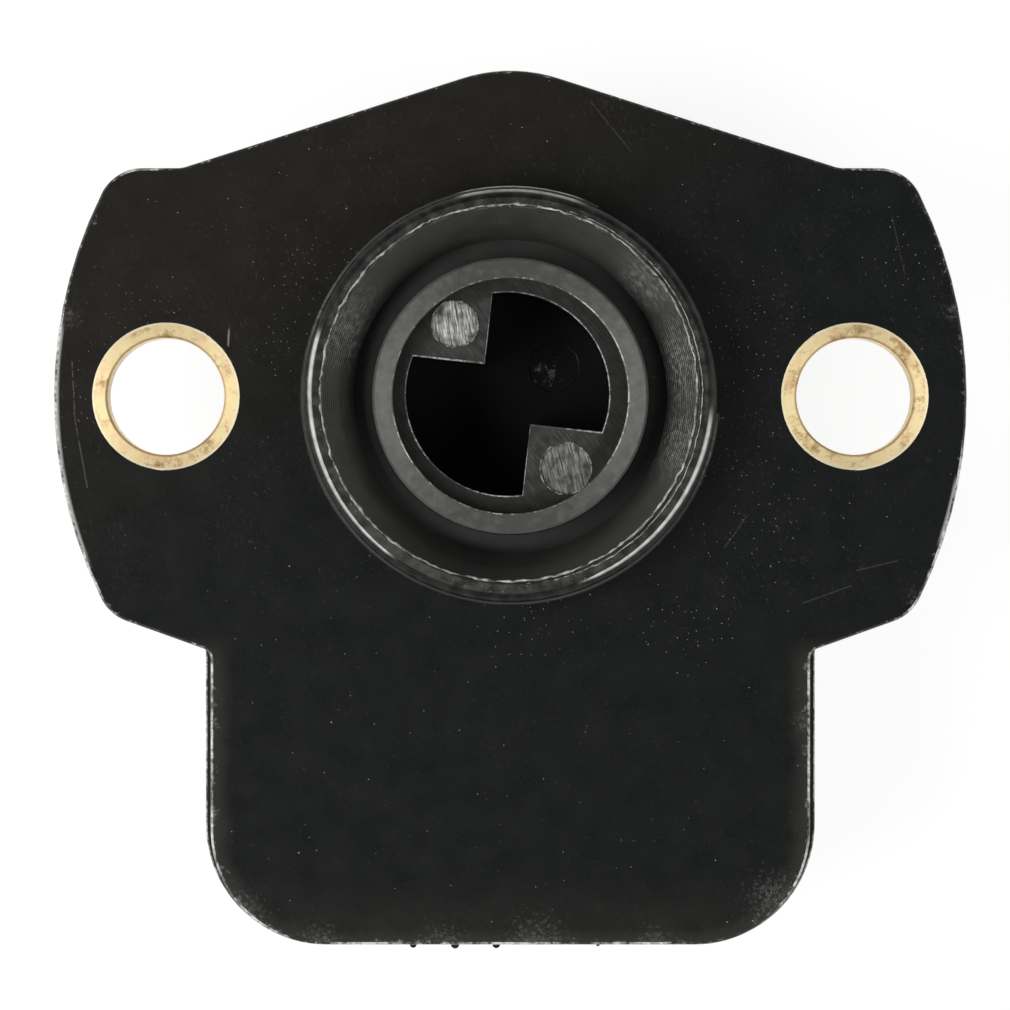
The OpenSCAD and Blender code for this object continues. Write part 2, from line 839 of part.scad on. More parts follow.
// Stamped terminal: a blade, a leg down behind the wall and a foot on the board
module terminal(place) {
    color("#c8b48a") translate([place * terminal_pitch - terminal_w / 2, 0, 0]) {
        translate([0, plug_back - blade_l, blade_z - terminal_t / 2])
            cube([terminal_w, leg_y - plug_back + blade_l, terminal_t]);
        translate([0, leg_y - terminal_t, print_top])
            cube([terminal_w, terminal_t, blade_z + terminal_t / 2 - print_top]);
        translate([0, leg_y - terminal_t, print_top])
            cube([terminal_w, foot_y - leg_y + terminal_t, terminal_t]);
    }
}

module supply_terminal() {
    terminal(-1);
}

module signal_terminal() {
    terminal(0);
}

module ground_terminal() {
    terminal(1);
}

// One leg of the spring, from the coil outwards: a bend and then a straight radial run. side is +1
// for the leg that leaves ahead of its angle and -1 for the one that leaves behind it.
function leg_points(angle, side, z) =
    let (out = polar(1, angle), along = side * polar(1, angle + 90))
    [
        for (i = [1:bend_steps])
            let (
                turn = 90 * i / bend_steps,
                place = (coil_r + bend_r * (1 - cos(turn))) * out + bend_r * sin(turn) * along
            )
            [place[0], place[1], z],
        let (place = leg_end_r * out + bend_r * along) [place[0], place[1], z]
    ];

function reversed(points) = [for (i = [len(points) - 1:-1:0]) points[i]];

function coil_points() =
    let (steps = ceil(coil_turns * coil_steps))
    [
        for (i = [0:steps])
            let (
                share = i / steps,
                place = polar(coil_r, lower_leg_angle + share * 360 * coil_turns)
            )
            [place[0], place[1], coil_foot + share * (coil_top - coil_foot)]
    ];

function spring_path() =
    concat(
        reversed(leg_points(lower_leg_angle, -1, coil_foot)),
        coil_points(),
        leg_points(upper_leg_angle, 1, coil_top)
    );

// The wire's section at one point of its path, square to the way it runs
function wire_ring(path, i) =
    let (
        ahead = path[min(i + 1, len(path) - 1)] - path[max(i - 1, 0)],
        side = [ahead[1], -ahead[0], 0] / norm([ahead[0], ahead[1]])
    )
    [
        for (k = [0:wire_sides - 1])
            let (turn = 360 * k / wire_sides)
            path[i] + wire_d / 2 * (cos(turn) * side + [0, 0, sin(turn)])
    ];

module return_spring() {
    path = spring_path();
    rings = len(path) - 1;
    points = [for (i = [0:rings]) each wire_ring(path, i)];
    walls = [
        for (i = [0:rings - 1])
            for (k = [0:wire_sides - 1])
                let (next = (k + 1) % wire_sides)
                [
                    i * wire_sides + k,
                    i * wire_sides + next,
                    (i + 1) * wire_sides + next,
                    (i + 1) * wire_sides + k
                ]
    ];
    start_cap = [for (k = [wire_sides - 1:-1:0]) k];
    end_cap = [for (k = [0:wire_sides - 1]) rings * wire_sides + k];
    color("#8d9196") polyhedron(points = points, faces = concat([start_cap], walls, [end_cap]));
}

rear_housing();
front_housing();
housing_seal();
left_bushing();
right_bushing();
rotor();
rotor_seal();
thrust_washer();
return_spring();
pilot_pin();
wiper_carrier();
wiper_contact();
element_board();
resistive_track();
collector_track();
conductor_pads();
supply_terminal();
signal_terminal();
ground_terminal();
terminal_seal();
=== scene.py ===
import json
import math

import bmesh
import bpy
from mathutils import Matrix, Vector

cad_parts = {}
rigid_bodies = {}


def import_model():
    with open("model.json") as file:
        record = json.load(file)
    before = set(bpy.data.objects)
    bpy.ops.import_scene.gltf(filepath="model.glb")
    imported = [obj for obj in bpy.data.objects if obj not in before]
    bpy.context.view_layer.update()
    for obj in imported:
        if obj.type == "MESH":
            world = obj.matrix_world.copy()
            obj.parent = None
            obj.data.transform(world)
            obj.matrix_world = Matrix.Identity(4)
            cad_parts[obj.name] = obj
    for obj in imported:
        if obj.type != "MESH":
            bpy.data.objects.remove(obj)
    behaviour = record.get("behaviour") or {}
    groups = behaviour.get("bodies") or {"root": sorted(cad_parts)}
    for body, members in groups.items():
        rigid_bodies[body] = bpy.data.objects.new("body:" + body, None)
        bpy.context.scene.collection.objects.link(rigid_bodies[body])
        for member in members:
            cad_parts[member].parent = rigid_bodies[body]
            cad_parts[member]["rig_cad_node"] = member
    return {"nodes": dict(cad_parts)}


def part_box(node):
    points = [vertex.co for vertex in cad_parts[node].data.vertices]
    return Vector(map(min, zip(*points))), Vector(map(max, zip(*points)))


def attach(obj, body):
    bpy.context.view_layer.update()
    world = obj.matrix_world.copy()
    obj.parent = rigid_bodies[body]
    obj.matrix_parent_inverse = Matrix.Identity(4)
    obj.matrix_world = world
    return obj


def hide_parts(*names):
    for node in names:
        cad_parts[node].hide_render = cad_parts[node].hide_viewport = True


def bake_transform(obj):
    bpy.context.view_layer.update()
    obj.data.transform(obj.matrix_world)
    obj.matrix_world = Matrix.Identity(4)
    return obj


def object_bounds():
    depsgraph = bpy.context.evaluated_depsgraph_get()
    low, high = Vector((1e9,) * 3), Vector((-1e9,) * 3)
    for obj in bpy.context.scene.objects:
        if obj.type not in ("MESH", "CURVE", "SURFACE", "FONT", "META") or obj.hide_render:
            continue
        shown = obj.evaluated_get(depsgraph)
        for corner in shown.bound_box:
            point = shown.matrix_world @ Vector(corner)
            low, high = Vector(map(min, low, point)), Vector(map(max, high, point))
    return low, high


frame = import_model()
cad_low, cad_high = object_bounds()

# FRONT HOUSING
# The closed half of the sensor: a flange, the round case and the connector's shroud in one moulding
# of black glass-filled nylon. It hangs on the rear housing's heat stakes and carries everything
# that doesn't turn. Sizes and places here and below are in millimetres.
MM = 0.001


def linear(code):
    """An sRGB colour such as "#1e1f1d" as the linear colour that a shader's socket takes."""
    shares = [int(code[i:i + 2], 16) / 255 for i in (1, 3, 5)]
    return [c / 12.92 if c <= 0.04045 else ((c + 0.055) / 1.055) ** 2.4 for c in shares] + [1.0]


def add(tree, kind, feeds, out=0, **settings):
    """Adds a node, sets it, and feeds its inputs by name or place with values or other nodes' outputs."""
    node = tree.nodes.new("ShaderNode" + kind)
    for setting, value in settings.items():
        setattr(node, setting, value)
    for socket, value in feeds.items():
        if isinstance(value, bpy.types.NodeSocket):
            tree.links.new(value, node.inputs[socket])
        else:
            node.inputs[socket].default_value = value
    return node.outputs[out]


def new_material(name):
    """An empty named material: its tree, its shader, and the piece's own coordinates in millimetres."""
    material = bpy.data.materials.new(name)
    material.use_nodes = True
    tree = material.node_tree
    place = add(tree, "TexCoord", {}, out="Object")
    place_mm = add(tree, "VectorMath", {0: place, "Scale": 1 / MM}, operation="SCALE")
    return material, tree, tree.nodes["Principled BSDF"], place_mm


def grained(name, dark, light, grain, roughness, bump, metallic=0.0):
    """A material whose colour drifts between dark and light, with the grain's size in millimetres and
    its bump's height."""
    material, tree, shader, place_mm = new_material(name)
    drift = add(tree, "TexNoise", {"Vector": place_mm, "Scale": 0.25 / grain, "Detail": 3.0})
    grain_noise = add(tree, "TexNoise", {"Vector": place_mm, "Scale": 1 / grain, "Detail": 6.0})
    both = add(tree, "Math", {0: drift, 1: grain_noise}, operation="MULTIPLY")
    share = add(tree, "MapRange", {"Value": both, "From Min": 0.15, "From Max": 0.35})
    colour = add(
        tree, "Mix", {0: share, 6: linear(dark), 7: linear(light)}, out=2, data_type="RGBA"
    )
    rough = add(
        tree, "MapRange",
        {"Value": grain_noise, "To Min": roughness - 0.06, "To Max": roughness + 0.06},
    )
    relief = add(
        tree, "Bump", {"Height": grain_noise, "Distance": bump * MM, "Strength": 1.0}, out="Normal"
    )
    tree.links.new(colour, shader.inputs["Base Color"])
    tree.links.new(rough, shader.inputs["Roughness"])
    tree.links.new(relief, shader.inputs["Normal"])
    shader.inputs["Metallic"].default_value = metallic
    return material


def select_only(piece):
    bpy.ops.object.select_all(action="DESELECT")
    piece.select_set(True)
    bpy.context.view_layer.objects.active = piece


def merged_copy(node_name, piece_name):
    """A CAD node's form as a new piece, with its loose triangles merged and its flat faces whole."""
    select_only(frame["nodes"][node_name])
    bpy.ops.object.duplicate()
    piece = bpy.context.view_layer.objects.active
    piece.name = piece.data.name = piece_name
    bpy.ops.object.parent_clear(type="CLEAR_KEEP_TRANSFORM")
    del piece["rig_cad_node"]
    piece.data.materials.clear()
    bpy.ops.mesh.customdata_custom_splitnormals_clear()
    bpy.ops.object.mode_set(mode="EDIT")
    bpy.ops.mesh.select_mode(type="EDGE")
    bpy.ops.mesh.select_all(action="SELECT")
    bpy.ops.mesh.remove_doubles(threshold=0.002 * MM)
    bpy.ops.mesh.mark_sharp(clear=True)
    bpy.ops.mesh.dissolve_limited(angle_limit=math.radians(0.5))
    bpy.ops.object.mode_set(mode="OBJECT")
    return piece


def round_edges(piece, wanted, width, segments, slot=0):
    """Rounds the outer corners whose two ends lie where wanted(x, y, z) says, all in millimetres, and
    gives the new faces a material slot."""
    select_only(piece)
    bpy.ops.object.mode_set(mode="EDIT")
    mesh = bmesh.from_edit_mesh(piece.data)
    for edge in mesh.edges:
        corner = edge.is_manifold and edge.is_convex and edge.calc_face_angle() > math.radians(25)
        edge.select_set(corner and all(wanted(*(vert.co / MM)) for vert in edge.verts))
    mesh.select_flush_mode()
    bmesh.update_edit_mesh(piece.data)
    bpy.ops.mesh.bevel(offset=width * MM, segments=segments, profile=0.5, clamp_overlap=False)
    for face in bmesh.from_edit_mesh(piece.data).faces:
        if face.select:
            face.material_index = slot
    bpy.ops.object.mode_set(mode="OBJECT")


def smooth_skin(piece):
    """Smooth shading that keeps the corners, weighted so that the big faces stay flat."""
    select_only(piece)
    bpy.ops.object.shade_smooth_by_angle(angle=math.radians(32))
    weighted = piece.modifiers.new("weighted", "WEIGHTED_NORMAL")
    weighted.keep_sharp = True
    bpy.ops.object.modifier_apply(modifier=weighted.name)


def dress(piece, body, slot, *materials):
    """Gives a finished piece its materials and its body. The slot is not used."""
    for material in materials:
        piece.data.materials.append(material)
    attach(piece, body)


def most_of(tree, marks):
    """The strongest of several masks at each place."""
    whole = marks[0]
    for mark in marks[1:]:
        whole = add(tree, "Math", {0: whole, 1: mark}, operation="MAXIMUM")
    return whole


def spot(tree, place_mm, centre, reach):
    """A soft round patch about a place on the mounting face, from 1 in its middle to 0 at its reach."""
    flat = add(tree, "VectorMath", {0: place_mm, 1: (1, 1, 0)}, operation="MULTIPLY")
    away = add(tree, "VectorMath", {0: flat, 1: (*centre, 0)}, out="Value", operation="DISTANCE")
    return add(
        tree, "MapRange",
        {"Value": away, "From Min": 0.0, "From Max": reach, "To Min": 1.0, "To Max": 0.0},
        interpolation_type="SMOOTHSTEP",
    )


def chipped(name, dark, light, size, least, most, worn=(), extra=0.25):
    """A corner flecked pale: light chips of about size millimetres where a noise is past least, with more
    of them about the worn places, which are (x, y) and a reach. Where the places follow the lamps, the
    pale chips are also a painted highlight."""
    material, tree, shader, place_mm = new_material(name)
    chips = add(
        tree, "TexNoise",
        {"Vector": place_mm, "Scale": 1 / size, "Detail": 6.0, "Roughness": 0.7},
    )
    if worn:
        near = most_of(tree, [spot(tree, place_mm, centre, reach) for *centre, reach in worn])
        chips = add(tree, "Math", {0: near, 1: extra, 2: chips}, operation="MULTIPLY_ADD")
    chips = add(tree, "MapRange", {"Value": chips, "From Min": least, "From Max": most})
    colour = add(
        tree, "Mix", {0: chips, 6: linear(dark), 7: linear(light)}, out=2, data_type="RGBA"
    )
    tree.links.new(colour, shader.inputs["Base Color"])
    shader.inputs["Roughness"].default_value = 0.35
    return material


case_r = 13.2
case_bevel_top = -15.9
mouth_y = -28.76
nubs_half_w = 6.5
flange_top = -3.2
flange_foot = -5.2
stake_r = 1.0
stake_places = ((12.96, -22.65), (12.96, -15.9), (10.67, 11.17))
bushing_x = 18.0
bushing_r = 3.85
near_enough = 0.01


def past_case(x, y):
    return math.hypot(x, y) > case_r + 0.8


def on_flange_rim(x, y, z):
    clear_of_nubs = abs(x) > nubs_half_w or y > -20
    return z > flange_top - near_enough and past_case(x, y) and clear_of_nubs


def on_flange_foot(x, y, z):
    clear_of_stakes = min(math.dist((abs(x), y), place) for place in stake_places) > stake_r + 0.4
    clear_of_screws = math.dist((abs(x), y), (bushing_x, 0.0)) > bushing_r + 0.75
    at_foot = abs(z - flange_foot) < near_enough
    return at_foot and past_case(x, y) and clear_of_stakes and clear_of_screws


def on_case_bevel(x, y, z):
    return z < case_bevel_top + 0.05 and math.hypot(x, y) < case_r + 0.2


def on_mouth(x, y, z):
    return y < mouth_y + near_enough and z < flange_foot - 0.1


front = merged_copy("front_housing", "front_housing_moulding")
round_edges(front, on_flange_rim, 0.08, 2, 1)
round_edges(front, on_flange_foot, 0.2, 3)
round_edges(front, on_case_bevel, 0.3, 3)
round_edges(front, on_mouth, 0.2, 3)
smooth_skin(front)

# Glass-filled nylon as it leaves a fine-grained mould: an even, nearly black skin with a soft sheen.
black_moulding = grained("black_nylon_moulded", "#161716", "#1c1d1b", 0.3, 0.34, 0.004)

# The same nylon along the corners: broken white lines, most down the ears' lower ends and round the lower
# section, partly chips rubbed pale by handling and partly painted highlights where the rounded corners
# would catch the lamps.
worn_and_highlit_black = chipped(
    "black_nylon_worn_and_highlit_corner", "#242523", "#dfe0db", 0.4, 0.56, 0.78,
    (
        (-23.6, 3.0, 3.0), (-23.8, -1.0, 4.5), (-23.3, -5.0, 4.5), (-22.0, -9.0, 3.5),
        (23.4, -4.2, 3.0), (22.3, -7.6, 3.5), (20.9, -10.8, 1.5), (19.5, 11.4, 1.5),
        (-15.6, -14.5, 2.0), (-15.6, -18.0, 4.0), (-15.3, -23.0, 4.0), (-13.0, -27.5, 3.0),
        (-7.0, -28.6, 4.0), (0.0, -28.6, 5.0), (7.0, -28.6, 4.0),
        (15.5, -15.0, 3.0), (15.5, -19.5, 4.0), (15.0, -24.5, 3.0), (-19.5, 11.6, 2.0),
    ),
    0.22,
)
dress(front, "housing", "moulded_black", black_moulding, worn_and_highlit_black)
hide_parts("front_housing")

# TERMINALS
# Three stamped strips of tinned brass, pressed through the wall behind the connector. Each has a
# blade in the connector, a leg down behind the wall and a foot on the board. The tin looks pale,
# warm and bright.
tinned_brass = grained("tinned_brass_stamped", "#b9b4a6", "#d2cec2", 0.08, 0.3, 0.003, metallic=1.0)
for terminal in ("supply_terminal", "signal_terminal", "ground_terminal"):
    blade = merged_copy(terminal, terminal + "_strip")
    tip_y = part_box(terminal)[0].y / MM
    round_edges(blade, lambda x, y, z: y < tip_y + near_enough, 0.2, 2)
    smooth_skin(blade)
    dress(blade, "housing", "terminal_tin", tinned_brass)
    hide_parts(terminal)

# TERMINAL SEAL
# Block of grey silicone sealant, poured round the terminals behind the connector. It set with a
# slightly wavy, dull skin.
sealant = grained("silicone_sealant_poured", "#3c3f41", "#4b4e50", 0.5, 0.45, 0.02)
frame["nodes"]["terminal_seal"].data.materials[0] = sealant

# ELEMENT BOARD AND ITS PRINTS
# White ceramic board, with a carbon track, a silver track and silver pads printed and fired on it.
# The board is cream and matt, the carbon dull black and the silver pale and satin.
ceramic = grained("alumina_ceramic_fired", "#ddd8ca", "#ece8dc", 0.15, 0.55, 0.005)
carbon = grained("carbon_ink_printed", "#1b1c20", "#2a2b2f", 0.06, 0.5, 0.006)
silver = grained("silver_ink_printed", "#9fa2a5", "#c6c8ca", 0.08, 0.42, 0.006, metallic=0.8)
for node_name, material in {
    "element_board": ceramic,
    "resistive_track": carbon,
    "collector_track": silver,
    "conductor_pads": silver,
}.items():
    frame["nodes"][node_name].data.materials[0] = material

# PILOT PIN
# Ground steel pin, pressed into the case's floor. The rotor's foot turns on it, and the grinding
# leaves it smooth and bright.
pin_steel = grained("steel_pin_ground", "#8f9295", "#b4b7ba", 0.05, 0.25, 0.002, metallic=1.0)
frame["nodes"]["pilot_pin"].data.materials[0] = pin_steel

# ROTOR
# The grey ring that the throttle shaft turns: one moulding of glass-filled PPS with a neck, a
# recessed ledge, two quarter-round drive tangs and a deep socket. It turns in the rear housing.
rim_top = 2.6
ledge_z = 1.4
rim_inner_r = 6.13
socket_r = 5.3
socket_floor = -7.5
upper_mark = (-2.90, 3.76)
lower_mark = (2.89, -3.77)
floor_mark = (2.3, 1.6)
mark_r = 1.34


def on_rim_edge(x, y, z):
    return z > rim_top - near_enough and math.hypot(x, y) < rim_inner_r + 0.1


def on_tang_edge(x, y, z):
    clear_of_marks = min(math.dist((x, y), mark) for mark in (upper_mark, lower_mark)) > mark_r + 0.05
    return abs(z - ledge_z) < near_enough and math.hypot(x, y) < socket_r + 0.2 and clear_of_marks


rotor = merged_copy("rotor", "rotor_moulding")
for on_edge in (on_rim_edge, on_tang_edge):
    round_edges(rotor, on_edge, 0.07, 2, 5)


def brushed(name, dark, light, lean, pitch, roughness, contrast):
    """Plastic wiped one way: streaks pitch millimetres apart that lean by so many degrees from +Y."""
    material, tree, shader, place_mm = new_material(name)
    turned = add(
        tree, "VectorRotate", {"Vector": place_mm, "Angle": -math.radians(lean)},
        rotation_type="Z_AXIS",
    )
    drawn = add(
        tree, "VectorMath", {0: turned, 1: (1 / pitch, 0.08 / pitch, 0.0)}, operation="MULTIPLY"
    )
    streaks = add(tree, "TexNoise", {"Vector": drawn, "Scale": 1.0, "Detail": 4.0, "Roughness": 0.6})
    patches = add(tree, "TexNoise", {"Vector": place_mm, "Scale": 1.5, "Detail": 4.0})
    share = add(
        tree, "MapRange",
        {"Value": streaks, "From Min": 0.5 - contrast, "From Max": 0.5 + contrast},
    )
    patches = add(tree, "MapRange", {"Value": patches, "From Min": 0.3, "From Max": 0.6})
    share = add(tree, "Math", {0: share, 1: patches}, operation="MULTIPLY", use_clamp=True)
    colour = add(
        tree, "Mix", {0: share, 6: linear(dark), 7: linear(light)}, out=2, data_type="RGBA"
    )
    relief = add(
        tree, "Bump", {"Height": streaks, "Distance": 0.02 * MM, "Strength": 1.0}, out="Normal"
    )
    tree.links.new(colour, shader.inputs["Base Color"])
    tree.links.new(relief, shader.inputs["Normal"])
    shader.inputs["Roughness"].default_value = roughness
    return material


def paint(piece, index, wanted):
    """Gives slot index to the faces whose middle, in millimetres, and upward share satisfy wanted."""
    for face in piece.data.polygons:
        if wanted(*(face.center / MM), face.normal.z):
            face.material_index = index


# Glass-filled PPS: the rim is a smooth mottled grey, with a painted sheen that makes it paler towards
# both sides, where the lamps would catch its fine rings.
rotor_rim, tree, shader, place_mm = new_material("grey_pps_rim_painted_sheen")
flat = add(tree, "VectorMath", {0: place_mm, 1: (1, 1, 0)}, operation="MULTIPLY")
outward = add(tree, "VectorMath", {0: flat}, operation="NORMALIZE")
# Painted sheen: the square of the outward direction's sideways share lightens the rim on the left and the
# right.
side = add(tree, "Math", {0: add(tree, "SeparateXYZ", {0: outward}, out="X"), 1: 2.0}, operation="POWER")
mottle = add(tree, "TexNoise", {"Vector": place_mm, "Scale": 2.2, "Detail": 6.0, "Roughness": 0.55})
share = add(tree, "Math", {0: mottle, 1: 1.2, 2: -0.6}, operation="MULTIPLY_ADD")
share = add(tree, "Math", {0: side, 1: 0.72, 2: share}, operation="MULTIPLY_ADD", use_clamp=True)
colour = add(
    tree, "Mix", {0: share, 6: linear("#424440"), 7: linear("#757772")}, out=2, data_type="RGBA"
)
relief = add(tree, "Bump", {"Height": mottle, "Distance": 0.015 * MM, "Strength": 1.0}, out="Normal")
tree.links.new(colour, shader.inputs["Base Color"])
tree.links.new(relief, shader.inputs["Normal"])
shader.inputs["Roughness"].default_value = 0.45

# The same PPS straight from the mould, on the rest of the rotor: an even, matt grey.
rotor_grey = grained("grey_pps_moulded", "#50524f", "#5e605c", 0.12, 0.5, 0.01)

# The ledge and the tangs, wiped as their flash was trimmed: darker, with fine oblique streaks, and
# nearly black where the ledge lies in the rim's shade.
rotor_ledge = brushed("grey_pps_ledge_wiped", "#212220", "#4b4c47", 40, 0.1, 0.5, 0.18)
tree = rotor_ledge.node_tree
shader = tree.nodes["Principled BSDF"]
place = add(tree, "TexCoord", {}, out="Object")
from_axis = add(tree, "VectorMath", {0: place, 1: (1, 1, 0)}, operation="MULTIPLY")
from_axis = add(tree, "VectorMath", {0: from_axis}, out="Value", operation="LENGTH")
shaded = add(
    tree, "MapRange",
    {"Value": from_axis, "From Min": (socket_r - 0.3) * MM, "From Max": (socket_r + 0.05) * MM,
     "To Max": 0.62},
)
wiped = shader.inputs["Base Color"].links[0].from_socket
colour = add(tree, "Mix", {0: shaded, 6: wiped, 7: linear("#0a0b09")}, out=2, data_type="RGBA")
tree.links.new(colour, shader.inputs["Base Color"])
shader.inputs["Specular IOR Level"].default_value = 0.3

# The ejector marks, pressed by pins with ground ends: pale coarse streaks, brighter on the upper one.
upper_streaks = brushed("grey_pps_upper_ejector_mark", "#333430", "#eeefe9", 9, 0.085, 0.35, 0.13)
lower_streaks = brushed("grey_pps_lower_ejector_mark", "#262724", "#a9aaa4", 14, 0.085, 0.35, 0.13)

# The socket's bare wall and floor: painted near black and dull as painted shade for their depth, with a
# few grey crumbs of plastic left on the floor.
rotor_socket_shade, tree, shader, place_mm = new_material("grey_pps_socket_shade_and_crumbs")
crumbs = add(tree, "TexNoise", {"Vector": place_mm, "Scale": 3.0, "Detail": 6.0, "Roughness": 0.8})
near = spot(tree, place_mm, (1.95, 1.3), 1.7)
crumbs = add(tree, "Math", {0: near, 1: 0.2, 2: crumbs}, operation="MULTIPLY_ADD")
crumbs = add(tree, "MapRange", {"Value": crumbs, "From Min": 0.7, "From Max": 0.8, "To Max": 0.7})
colour = add(
    tree, "Mix", {0: crumbs, 6: linear("#080907"), 7: linear("#9b9c96")}, out=2, data_type="RGBA"
)
tree.links.new(colour, shader.inputs["Base Color"])
shader.inputs["Roughness"].default_value = 0.6
shader.inputs["Specular IOR Level"].default_value = 0.2

# Corners of the rim, ledge and tangs: thin pale lines, broken by chips, partly rubbed by the shaft and
# partly painted highlights.
rotor_edge = chipped(
    "grey_pps_rubbed_corner", "#4c4e49", "#dcddd7", 0.25, 0.52, 0.74,
    [
        (reach * math.cos(math.radians(turn)), reach * math.sin(math.radians(turn)), 2.0)
        for reach, turn in (
            (6.1, -25), (6.1, 0), (6.1, 25), (6.1, 45), (6.1, 205), (4.0, 160), (3.0, 110), (4.5, -20),
            (4.0, -80), (5.0, -95),
        )
    ],
    0.18,
)
smooth_skin(rotor)
dress(
    rotor, "rotor", "rotor_grey",
    rotor_grey, rotor_rim, rotor_ledge, upper_streaks, rotor_socket_shade, rotor_edge, lower_streaks
)


def in_socket(x, y, z, up):
    return socket_floor - 0.2 < z < ledge_z - 0.12 and math.hypot(x, y) < socket_r + 0.3


def in_mark(x, y, z, up):
    return ledge_z - 0.12 < z < ledge_z - 0.05 and up > 0.9


paint(rotor, 1, lambda x, y, z, up: z > rim_top - near_enough)
paint(rotor, 2, lambda x, y, z, up: abs(z - ledge_z) < near_enough)
paint(rotor, 3, in_mark)
paint(rotor, 6, lambda x, y, z, up: in_mark(x, y, z, up) and y < 0)
paint(rotor, 4, in_socket)
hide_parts("rotor")


def ragged_bead(name, centre, level, ring_r, wire, swell, wander, turns=360, lean=0.0):
    """Torn flash along a round edge: a low bead of plastic, wire thick, that swells unevenly and
    wanders. Its left side sinks out of sight where it leans, in degrees."""
    bpy.ops.object.select_all(action="DESELECT")
    bpy.ops.mesh.primitive_torus_add(
        location=(centre[0] * MM, centre[1] * MM, level * MM), rotation=(0, -math.radians(lean), 0),
        major_radius=ring_r * MM, minor_radius=wire * MM, major_segments=turns, minor_segments=6,
    )
    bead = bpy.context.view_layer.objects.active
    bead.name = bead.data.name = name
    bpy.ops.object.transform_apply(location=True, rotation=True, scale=True)
    for direction, size, strength in (("NORMAL", 4 * wire, swell), ("RGB_TO_XYZ", 0.4, wander)):
        noise = bpy.data.textures.new(name, "CLOUDS")
        noise.cloud_type = "COLOR"
        noise.noise_scale = size * MM
        shift = bead.modifiers.new("ragged", "DISPLACE")
        shift.texture = noise
        shift.direction = direction
        shift.texture_coords = "LOCAL"
        shift.strength = strength * MM
        shift.mid_level = 0.5
        bpy.ops.object.modifier_apply(modifier=shift.name)
    bpy.ops.object.shade_smooth()
    return bead


# Torn flash round the ejector marks: dark ragged rings with pale bits, and in the socket painted nearly
# black as painted shade.
grey_flash = chipped("grey_pps_torn_flash", "#2c2d2a", "#b4b5af", 0.3, 0.44, 0.62)
socket_flash_shade = chipped(
    "grey_pps_torn_flash_socket_shade", "#060705", "#5c5d58", 0.4, 0.66, 0.8, ((3.5, 2.0, 1.6),)
)
socket_flash_shade.node_tree.nodes["Principled BSDF"].inputs["Specular IOR Level"].default_value = 0.2
for name, centre, level, ring_r, flash in (
    ("lower_mark_flash", lower_mark, ledge_z, mark_r, grey_flash),
    ("upper_mark_flash", upper_mark, ledge_z, 1.22, grey_flash),
    ("floor_mark_flash", floor_mark, socket_floor - 0.04, mark_r, socket_flash_shade),
):
    bead = ragged_bead(name, centre, level, ring_r, 0.04, 0.14, 0.1, 120)
    dress(bead, "rotor", "rotor_grey", flash)

# WIPER CARRIER AND WIPER CONTACT
# Disc of acetal under the rotor's hub, and the sprung fingers of copper alloy riveted to it. The
# acetal is cream and smooth, and the rolled alloy is golden and bright.
acetal = grained("acetal_disc_moulded", "#d9cfb6", "#e8dfca", 0.3, 0.4, 0.005)
frame["nodes"]["wiper_carrier"].data.materials[0] = acetal
contact_alloy = grained("copper_alloy_stamped", "#b98e4a", "#d6ae6a", 0.05, 0.28, 0.002, metallic=1.0)
frame["nodes"]["wiper_contact"].data.materials[0] = contact_alloy

# RETURN SPRING
# Torsion coil of music wire round the rotor's hub. Its lower leg leans on a post of the case, and
# its upper leg pushes the rotor's hook back, so the coil winds up as the rotor turns. Drawing leaves
# the wire grey and bright.
spring = merged_copy("return_spring", "return_spring_wire")
smooth_skin(spring)
spring_wire = grained("spring_wire_drawn", "#7c7f83", "#9a9da1", 0.05, 0.3, 0.002, metallic=1.0)
spring.data.materials.append(spring_wire)
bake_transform(spring)
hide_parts("return_spring")

# THRUST WASHER AND SEALS
# White PTFE washer between the rotor's flange and the plate, and two rings of black nitrile rubber.
# The cut washer is waxy and white, and the moulded rubber is dull and black.
ptfe = grained("ptfe_washer_cut", "#dedcd4", "#ecebe5", 0.3, 0.4, 0.004)
rubber = grained("nitrile_rubber_moulded", "#242523", "#30312e", 0.1, 0.6, 0.01)
frame["nodes"]["thrust_washer"].data.materials[0] = ptfe
frame["nodes"]["rotor_seal"].data.materials[0] = rubber
frame["nodes"]["housing_seal"].data.materials[0] = rubber

# REAR HOUSING
# The mounting plate with its locating collar, moulded in black glass-filled nylon and polished by the
# mould. Its corners are pale, partly from wear and partly from painted highlights, its face carries dust
# and hairlines, and the recess in the collar is turned, with painted glints and painted shade in it.
collar_top = 3.8
collar_r = 10.92
rim_edge_r = 9.8
band_top = 3.1
recess_floor = -0.8
ear_r = 23.85
lower_half = 15.6
lower_drop = 28.65
lower_round = 6.0


def on_plate_edge(x, y, z):
    clear_of_bushing = math.hypot(abs(x) - bushing_x, y) >= bushing_r + 0.45
    return abs(z) < near_enough and math.hypot(x, y) > collar_r + 0.28 and clear_of_bushing


def on_collar_corner(x, y, z):
    return z > collar_top - near_enough and math.hypot(x, y) > rim_edge_r + 0.5


def on_collar_band(x, y, z):
    return abs(z - band_top) < near_enough and math.hypot(x, y) > collar_r - 0.07


def on_recess_corner(x, y, z):
    return z > collar_top - near_enough and math.hypot(x, y) < rim_edge_r + 0.1


rear = merged_copy("rear_housing", "rear_housing_moulding")
round_edges(rear, on_plate_edge, 0.13, 2, 1)
round_edges(rear, on_collar_corner, 0.45, 5, 4)
round_edges(rear, on_collar_band, 0.06, 2, 4)
round_edges(rear, on_recess_corner, 0.06, 2, 3)
smooth_skin(rear)


